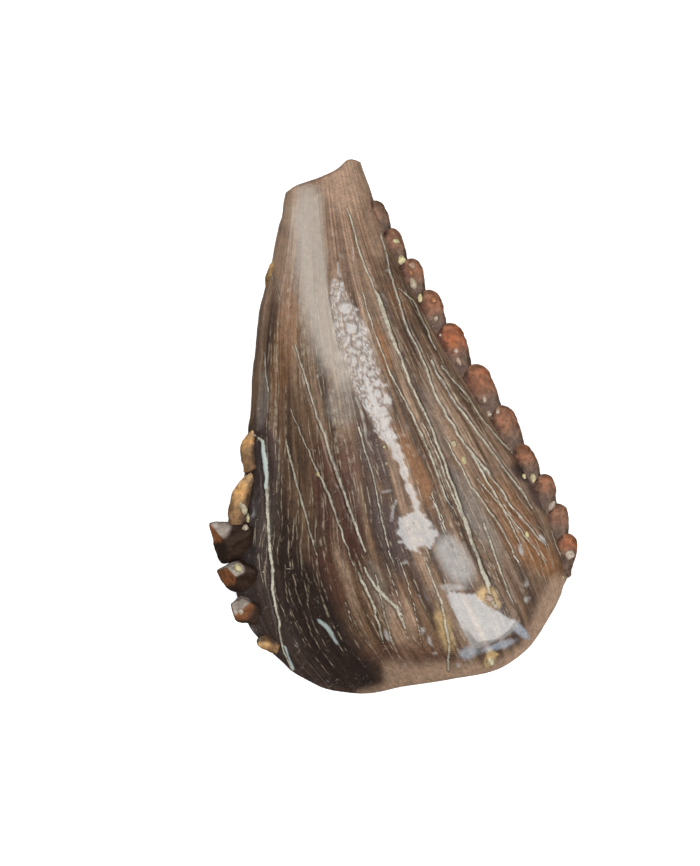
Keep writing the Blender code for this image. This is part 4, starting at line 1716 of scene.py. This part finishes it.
@dataclass
class Crown:
    """The enamel crown: its relief, its stains and the mineral that fills its cracks."""

    form: CrownForm = field(default_factory=CrownForm)
    cheek_steps: int = 320
    tongue_share: int = 5
    down_steps: int = 226
    tip_steps: int = 6
    base_steps: int = 16
    flute_height: float = 0.010
    flutes_across: float = 34.0
    groove_depth: float = 0.008
    bubble_size: float = 0.15
    small_bubble_size: float = 0.075
    bubble_height: float = 0.012
    edge_wobble: float = 0.045
    grain_size: float = 0.035
    grain_height: float = 0.0022
    hair_count: int = 260
    hair_half_width: float = 0.011
    hair_seed: int = 11
    hair_starts: tuple[float, float] = (0.18, 0.90)
    hair_lengths: tuple[float, float] = (0.04, 0.24)
    hair_lowest: float = 0.985
    hair_places: tuple[float, float] = (0.06, 0.97)
    hair_drift: float = 0.02
    hair_sway: float = 0.024
    hair_waves: float = 17
    fine_flutes: float = 0.35
    fine_flutes_across: float = 110
    wobble_size: float = 0.42
    back_wobble: float = 0.4
    stain_smooths: float = 0.92
    crust_polish: float = 0.95
    streak_polish: float = 0.9
    fine_polish: float = 0.7
    cream_polish: float = 0.60
    steep_polish: float = 0.4
    tongue_polish: float = 0.6
    least_polish: float = 0.05
    # How much painted highlight, as a pale chalk tint, lies under the polished places.
    painted_highlight_under_polish: float = 0.55
    cheek_map_share: float = 0.74
    tongue_map_from: float = 0.75

    def hair_cracks(self, skin: Skin, wide: Array) -> Array:
        """Closeness to the fine cracks that follow the crown's growth, from 0 to 1.

        Args:
            skin: The crown's surface.
            wide: How broad the crown is at each place, in millimetres.

        Returns:
            1 in the middle of a crack, falling to 0 at its edges.
        """
        rng = np.random.default_rng(self.hair_seed)
        best = np.zeros_like(skin.across)
        for number in range(self.hair_count):
            start = rng.uniform(*self.hair_starts)
            stop = min(self.hair_lowest, start + rng.uniform(*self.hair_lengths))
            at = rng.uniform(*self.hair_places)
            drift = rng.uniform(-self.hair_drift, self.hair_drift)
            line = np.full_like(skin.down, number)
            sway = soft_noise(np.stack([skin.down * self.hair_waves, line], axis=-1), 1.0, 31)
            course = at + drift * (skin.down - start) + self.hair_sway * (sway - 0.5)
            gap = np.abs(skin.across - course) * wide / self.hair_half_width
            ends = smooth_step(start, start + 0.03, skin.down) * smooth_step(stop, stop - 0.04, skin.down)
            best = np.maximum(best, np.clip(1 - gap, 0, 1) * ends)
        return best

    def painted(self, skin: Skin) -> dict[str, Array]:
        """The masks that colour the crown, by name."""
        mirrored = self.form.from_above(1 - skin.across, skin.down)
        plan = np.where(skin.cheek[..., None] > 0, skin.plan, mirrored)
        left = self.form.from_above(np.zeros_like(skin.across), skin.down)
        right = self.form.from_above(np.ones_like(skin.across), skin.down)
        wide = np.linalg.norm(right - left, axis=-1)
        body = smooth_step(-0.9, 0.0, skin.ends) * smooth_step(0.55, 0.15, skin.ends)
        masks = {tint.value: np.zeros_like(skin.across) for tint in Tint}
        ragged = warped(plan, 0.07, 0.35, 5)
        for stain in STAINS_AND_PAINTED_LIGHT:
            cover = stain.cover(ragged)
            if stain.tint in (Tint.CHALK_AND_HIGHLIGHT, Tint.CREAM_AND_SHEEN, Tint.CRUST_AND_SHEEN, Tint.YELLOW, Tint.POCKET_SHADE):
                cover = cover * skin.cheek
            masks[stain.tint.value] = np.maximum(masks[stain.tint.value], cover)
        bent = warped(plan, 0.018, 0.12, 9)
        vein = np.zeros_like(skin.across)
        for course in VEINS:
            vein = np.maximum(vein, course.closeness(bent, 3.0))
        blue = np.zeros_like(skin.across)
        for course in BLUE_VEINS:
            blue = np.maximum(blue, course.closeness(bent, 1.6))
        crust_and_sheen = CRUST_BAND.closeness(ragged)
        masks["vein"] = vein * body
        masks["blue_vein"] = smooth_step(0.1, 0.5, blue) * body
        masks["hair"] = self.hair_cracks(skin, wide) * body
        masks["crust_and_sheen"] = np.maximum(masks["crust_and_sheen"], smooth_step(0.05, 0.45, crust_and_sheen) * skin.cheek)
        large = smooth_step(0.04, 0.22, pebbles(warped(plan, 0.04, 0.12, 21), self.bubble_size, 23))
        small = smooth_step(0.04, 0.26, pebbles(warped(plan, 0.02, 0.07, 25), self.small_bubble_size, 27))
        mixed = smooth_step(0.40, 0.60, soft_noise(plan, 0.3, 29, 2))
        masks["bubble"] = large + (small - large) * mixed
        masks["big_bubble"] = np.maximum.reduce([bubble.cover(bent) for bubble in BUBBLES]) * skin.cheek
        masks["polish"] = self.polish(skin, ragged, masks)
        # Painted highlight: a pale chalk tint under the polished bubbles, streaks and patches.
        glassy = smooth_step(0.5, 0.85, masks["polish"]) * skin.cheek * (1 - masks["cream_and_sheen"])
        masks["chalk_and_highlight"] = np.maximum(masks["chalk_and_highlight"], self.painted_highlight_under_polish * glassy)
        masks["pit"] = smooth_step(0.25, 0.6, skin.ends)
        return masks

    def polish(self, skin: Skin, ragged: Array, masks: dict[str, Array]) -> Array:
        """How polished the enamel is, from 0 to 1.

        Args:
            skin: The crown's surface.
            ragged: Its places seen from above, moved about so that borders are uneven.
            masks: The masks so far.

        Returns:
            The polish at each place.
        """
        torn = soft_noise(skin.plan, 0.07, 91, 2) - 0.5
        joints = np.where(masks["big_bubble"] > 0.02, masks["big_bubble"], masks["bubble"])
        crust_and_sheen = smooth_step(0.15, 0.40, CRUST_BAND.closeness(ragged) + 0.7 * torn)
        crust_and_sheen = crust_and_sheen * smooth_step(0.45, 0.8, joints)
        streak = smooth_step(0.20, 0.70, POLISHED_STREAK.closeness(skin.plan) + 0.9 * torn)
        ring = smooth_step(0.45, 0.62, Area(Tint.CHALK_AND_HIGHLIGHT, RING_HIGHLIGHT_PATCH, 0.14).cover(skin.plan) + 1.3 * torn)
        white = smooth_step(0.45, 0.60, Area(Tint.CHALK_AND_HIGHLIGHT, WHITE_HIGHLIGHT_PATCH, 0.06).cover(skin.plan) + 0.5 * torn)
        best = np.maximum.reduce([crust_and_sheen * self.crust_polish, streak * self.streak_polish, ring, white])
        for fine in POLISHED_FINE:
            best = np.maximum(best, self.fine_polish * smooth_step(0.1, 0.5, fine.closeness(ragged) + torn))
        soft = SOFT_GLOW.cover(ragged)
        steep = smooth_step(0.84, 0.70, np.abs(skin.outward()[..., 2])) * self.steep_polish
        steep = steep * (1 - 0.95 * masks["dark"])
        plain = np.maximum(self.least_polish, np.where(skin.cheek > 0, steep, self.tongue_polish))
        cream_and_sheen = self.cream_polish * masks["cream_and_sheen"]
        return np.maximum.reduce([best * skin.cheek, soft * skin.cheek, cream_and_sheen, plain])

    def relief(self, skin: Skin, masks: dict[str, Array]) -> Array:
        """How far each place stands out from the plain form, in millimetres."""
        lay = np.stack([skin.across * self.flutes_across, skin.down * 2.2 + skin.cheek * 9], axis=-1)
        flutes = soft_noise(lay, 1.0, 41, 2) - 0.5
        fine_lay = np.stack([skin.across * self.fine_flutes_across, skin.down * 7], axis=-1)
        fine = soft_noise(fine_lay, 1.0, 47, 2) - 0.5
        inner = smooth_step(0.0, 0.08, skin.across) * smooth_step(1.0, 0.92, skin.across)
        body = smooth_step(-0.9, 0.0, skin.ends) * smooth_step(0.3, 0.0, skin.ends)
        calm = 1 - self.stain_smooths * np.maximum(masks["cream_and_sheen"], masks["chalk_and_highlight"])
        wobble = soft_noise(skin.plan, self.wobble_size, 57, 3) - 0.5
        at_back = smooth_step(0.92, 1.0, skin.across)
        at_edge = smooth_step(0.10, 0.0, skin.across) + self.back_wobble * at_back
        heights = self.flute_height * (flutes + self.fine_flutes * fine) * inner * body * calm
        shoulder = smooth_step(0.15, 0.45, masks["vein"]) * smooth_step(0.85, 0.6, masks["vein"])
        heights -= self.groove_depth * shoulder * inner
        bubble = np.maximum(masks["bubble"] * (masks["big_bubble"] < 0.02), masks["big_bubble"])
        heights += self.bubble_height * (bubble - 0.7) * masks["crust_and_sheen"]
        heights += 2 * self.edge_wobble * wobble * at_edge * body
        grain = soft_noise(skin.points, self.grain_size * 3, 53, 2) - 0.5
        rough = 1 + 9 * masks["pit"] + 2.5 * masks["pocket_shade"]
        heights += self.grain_height * grain * rough * calm * 2
        return heights

    def build(self) -> bpy.types.Object:
        """Makes the crown's mesh, with its masks, and dresses it."""
        skin = self.form.skin(
            self.cheek_steps, self.tongue_share, self.down_steps, self.tip_steps, self.base_steps
        )
        masks = self.painted(skin)
        skin.raise_by(self.relief(skin, masks))
        skin.points[..., 2] = np.maximum(skin.points[..., 2], 0.0)
        piece = self.meshed(skin, masks)
        dress(piece, ENAMEL.material())
        return piece

    def meshed(self, skin: Skin, masks: dict[str, Array]) -> bpy.types.Object:
        """A closed mesh of the skin, with each mask as an attribute of its points.

        Args:
            skin: The finished surface.
            masks: Values for each of its places.

        Returns:
            The crown as a scene object.
        """
        rows, loop = skin.across.shape
        ids = np.arange(rows * loop).reshape(rows, loop)
        top, last = skin.cheek_steps, rows - 1
        faces, corner_maps = [], []
        for columns, strips in ((range(top), range(last)), (range(top, loop), range(1, last - 1))):
            for row in strips:
                for column in columns:
                    beside = (column + 1) % loop
                    below = [ids[row + 1, beside], ids[row + 1, column]]
                    faces.append([ids[row, column], ids[row, beside], *below])
                    left, right = self.map_across(skin, column), self.map_across(skin, column + 1)
                    low, high = row / last, (row + 1) / last
                    corner_maps.append([(left, low), (right, low), (right, high), (left, high)])
        for end, beside in ((0, 1), (last, last - 1)):
            for step in range(skin.tongue_steps):
                near, far = top + skin.tongue_steps - step, top + skin.tongue_steps - step - 1
                span = range(step * self.tongue_share, (step + 1) * self.tongue_share + 1)
                ring = [ids[end, column] for column in span]
                ring += [ids[beside, far], ids[beside, near % loop]]
                shares = np.linspace(self.map_across(skin, near), self.map_across(skin, far), len(span))
                flat = [(share, end / last) for share in shares]
                flat += [(shares[-1], beside / last), (shares[0], beside / last)]
                faces.append(ring)
                corner_maps.append(flat)
        used = np.unique(np.concatenate([ids[0, : top + 1], ids[1:last].ravel(), ids[last, : top + 1]]))
        number = np.full(rows * loop, -1)
        number[used] = np.arange(len(used))
        faces = [[int(number[corner]) for corner in face] for face in faces]
        values = {name: mask.ravel()[used] for name, mask in masks.items()}
        values["lay"] = np.stack([skin.across, skin.down, skin.cheek], axis=-1).reshape(-1, 3)[used]
        return mesh_object("crown_enamel", skin.points.reshape(-1, 3)[used], faces, values, corner_maps)

    def map_across(self, skin: Skin, column: int) -> float:
        """How far across its flat map a column of the skin lies: the cheek face, then the tongue face."""
        if column <= skin.cheek_steps:
            return self.cheek_map_share * column / skin.cheek_steps
        past = (column - skin.cheek_steps) / skin.tongue_steps
        return self.tongue_map_from + (1 - self.tongue_map_from) * past


def mesh_object(name: str, points: Array, faces: Sequence[Sequence[int]],
                values: dict[str, Array], corner_maps: Sequence[Sequence[Point]]) -> bpy.types.Object:
    """A smooth mesh in the scene, set where the solid stands.

    Args:
        name: Its name.
        points: Its places, in millimetres, as the crown's form gives them.
        faces: The numbers of each face's points.
        values: Values for each point, by the name of their mask.
        corner_maps: For each face, where its corners lie on a flat map of the surface.

    Returns:
        The new object.
    """
    mesh = bpy.data.meshes.new(name)
    mesh.from_pydata(((points - ORIGIN) * METRES_PER_MM).tolist(), [], faces)
    for mask, numbers in values.items():
        wide = numbers.ndim > 1
        layer = mesh.attributes.new(mask, "FLOAT_VECTOR" if wide else "FLOAT", "POINT")
        layer.data.foreach_set("vector" if wide else "value", numbers.astype(np.float32).ravel())
    flat_map = mesh.uv_layers.new(name=BAKE_MAP)
    corners = np.array(list(itertools.chain.from_iterable(corner_maps)), np.float32)
    flat_map.data.foreach_set("uv", corners.ravel())
    mesh.shade_smooth()
    turned = bmesh.new()
    turned.from_mesh(mesh)
    bmesh.ops.recalc_face_normals(turned, faces=turned.faces)
    turned.to_mesh(mesh)
    turned.free()
    piece = bpy.data.objects.new(name, mesh)
    bpy.context.scene.collection.objects.link(piece)
    return piece


def dress(piece: bpy.types.Object, material: bpy.types.Material) -> None:
    """Gives a piece its finish, and ties it to the solid that it stands for."""
    piece.data.materials.append(material)
    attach(piece, BODY)
    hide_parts(NODE)


def surface_of(piece: bpy.types.Object) -> BVHTree:
    """A piece's surface, ready to be probed, in metres."""
    mesh = piece.data
    return BVHTree.FromPolygons([v.co for v in mesh.vertices], [p.vertices for p in mesh.polygons])


def top_of(trees: Iterable[BVHTree], at: Point) -> float | None:
    """Height of the highest of some surfaces under a place seen from above, or None where all miss."""
    x, y = (np.array(at) - ORIGIN[:2]) * METRES_PER_MM
    hits = [tree.ray_cast(Vector((x, y, PROBE_FROM)), Vector((0, 0, -1)))[0] for tree in trees]
    heights = [hit.z / METRES_PER_MM for hit in hits if hit is not None]
    return max(heights, default=None)


class Reach(Enum):
    """What a light does: brightens surfaces, or shows as a reflection in them."""

    BRIGHTENS = "brightens"
    MIRRORED = "mirrored"


@dataclass(frozen=True)
class SoftLight:
    """A flat studio light: where it hangs, its breadth, its height and how bright its face is."""

    name: str
    towards: tuple[float, float, float]
    wide: float
    tall: float
    radiance: float
    reach: Reach
    long_axis: tuple[float, float, float] | None = None
    distance: float = 0.26

    def build(self, aim: Vector) -> None:
        """Hangs the light so that it faces the tooth. wide and tall are full angles in degrees."""
        data = bpy.data.lights.new(self.name, "AREA")
        data.shape = "ELLIPSE" if self.long_axis is None else "RECTANGLE"
        data.size = 2 * self.distance * math.tan(math.radians(self.wide) / 2)
        data.size_y = 2 * self.distance * math.tan(math.radians(self.tall) / 2)
        share = math.pi / 4 if self.long_axis is None else 1.0
        data.energy = 4 * self.radiance * data.size * data.size_y * share
        made = bpy.data.objects.new(self.name, data)
        back = Vector(self.towards).normalized()
        made.location = aim + back * self.distance
        turn = back.to_track_quat("Z", "Y")
        if self.long_axis is not None:
            up = Vector(self.long_axis)
            up = (up - back * up.dot(back)).normalized()
            side = up.cross(back)
            turn = Matrix((side, up, back)).transposed().to_quaternion()
        made.rotation_mode = "QUATERNION"
        made.rotation_quaternion = turn
        made.visible_camera = False
        made.visible_glossy = self.reach is Reach.MIRRORED
        made.visible_diffuse = self.reach is Reach.BRIGHTENS
        bpy.context.scene.collection.objects.link(made)


@dataclass
class Studio:
    """A pale floor, soft lights and a camera that looks straight down."""

    picture: tuple[int, int] = (700, 866)
    mm_per_pixel: float = 0.014
    middle: Point = (-0.602, -0.098)
    focus_height: float = 0.8
    lens: float = 250.0
    sensor: float = 36.0
    floor_size: float = 4.0
    floor_colour: Colour = (236, 236, 236)
    floor_glow: float = 0.55
    sky_light: float = 0.18
    backdrop: float = 1.05
    nearest: float = 0.001
    furthest: float = 10.0
    lights: tuple[SoftLight, ...] = (
        SoftLight("key_softbox", (-0.45, 0.50, 0.74), 44, 44, 4.5, Reach.BRIGHTENS),
        SoftLight("fill_softbox", (0.50, -0.45, 0.74), 54, 54, 3.2, Reach.BRIGHTENS),
        SoftLight("side_window", (-0.82, 0.29, 0.49), 28, 36, 4.0, Reach.MIRRORED, (0.1, -0.4, 0.3)),
        SoftLight("roof_window", (0.45, -0.08, 0.89), 100, 114, 3.8, Reach.MIRRORED),
    )

    def build(self) -> None:
        """Sets up the floor, the lights, the sky and the camera."""
        scene = bpy.context.scene
        scene.view_settings.view_transform = "Standard"
        aim = Vector((np.array([*self.middle, self.focus_height]) - ORIGIN) * METRES_PER_MM)
        self.build_floor()
        for light in self.lights:
            light.build(aim)
        self.build_sky()
        data = bpy.data.cameras.new("camera")
        data.lens = self.lens
        data.sensor_width = self.sensor
        data.clip_start = self.nearest
        data.clip_end = self.furthest
        camera = bpy.data.objects.new("camera", data)
        tall = self.picture[1] * self.mm_per_pixel
        distance = tall * self.lens / self.sensor * METRES_PER_MM
        camera.location = aim + Vector((0, 0, distance))
        scene.collection.objects.link(camera)
        scene.camera = camera

    def build_floor(self) -> None:
        """Lays the floor that the tooth rests on."""
        half = self.floor_size / 2
        mesh = bpy.data.meshes.new("floor")
        square = [(-half, -half, 0), (half, -half, 0), (half, half, 0), (-half, half, 0)]
        mesh.from_pydata(square, [], [(0, 1, 2, 3)])
        floor = bpy.data.objects.new("floor", mesh)
        bpy.context.scene.collection.objects.link(floor)
        material, wiring = new_material("pale_floor")
        shader = wiring.node("BsdfPrincipled", {
            "Base Color": linear(self.floor_colour),
            "Roughness": 0.9,
            "Emission Color": (1, 1, 1, 1),
            "Emission Strength": self.floor_glow,
        })
        wiring.node("OutputMaterial", {"Surface": shader.outputs[0]})
        mesh.materials.append(material)
        # The tooth neither mirrors the floor nor takes light from it, as on a dark bench.
        floor.visible_glossy = False
        floor.visible_diffuse = False

    def build_sky(self) -> None:
        """Dim light from all round, which the camera sees as plain and pale."""
        world = bpy.data.worlds.new("studio")
        bpy.context.scene.world = world
        world.use_nodes = True
        wiring = Wiring(world.node_tree)
        rays = wiring.node("LightPath")
        dim = wiring.node("Background", {"Color": (1, 1, 1, 1), "Strength": self.sky_light})
        pale = wiring.node("Background", {"Color": (1, 1, 1, 1), "Strength": self.backdrop})
        seen = rays.outputs["Is Camera Ray"]
        both = wiring.node("MixShader", {0: seen, 1: dim.outputs[0], 2: pale.outputs[0]})
        wiring.node("OutputWorld", {"Surface": both.outputs[0]})


def report(piece: bpy.types.Object) -> None:
    """Logs one finished piece."""
    log.info("%s: %d faces", piece.name, len(piece.data.polygons))


def main() -> None:
    """Builds the tooth and its studio, in order."""
    logging.basicConfig(level=logging.INFO, format="%(name)s %(message)s")
    crown = Crown().build()
    report(crown)
    carriers = [crown]
    for row in (
        ToothRow("back_cutting_teeth", Edge.BACK, BACK_TEETH, AMBER),
        ToothRow(
            "front_scallops", Edge.FRONT, FRONT_SCALLOPS, GOLD,
            root_length=0.16, root_sunk=0.0, inner_breadth=1.0,
        ),
        SpikeRow(),
    ):
        carriers.append(row.build())
        report(carriers[-1])
    report(GrainCluster().build(carriers))
    Studio().build()


if __name__ == "__main__":
    main()
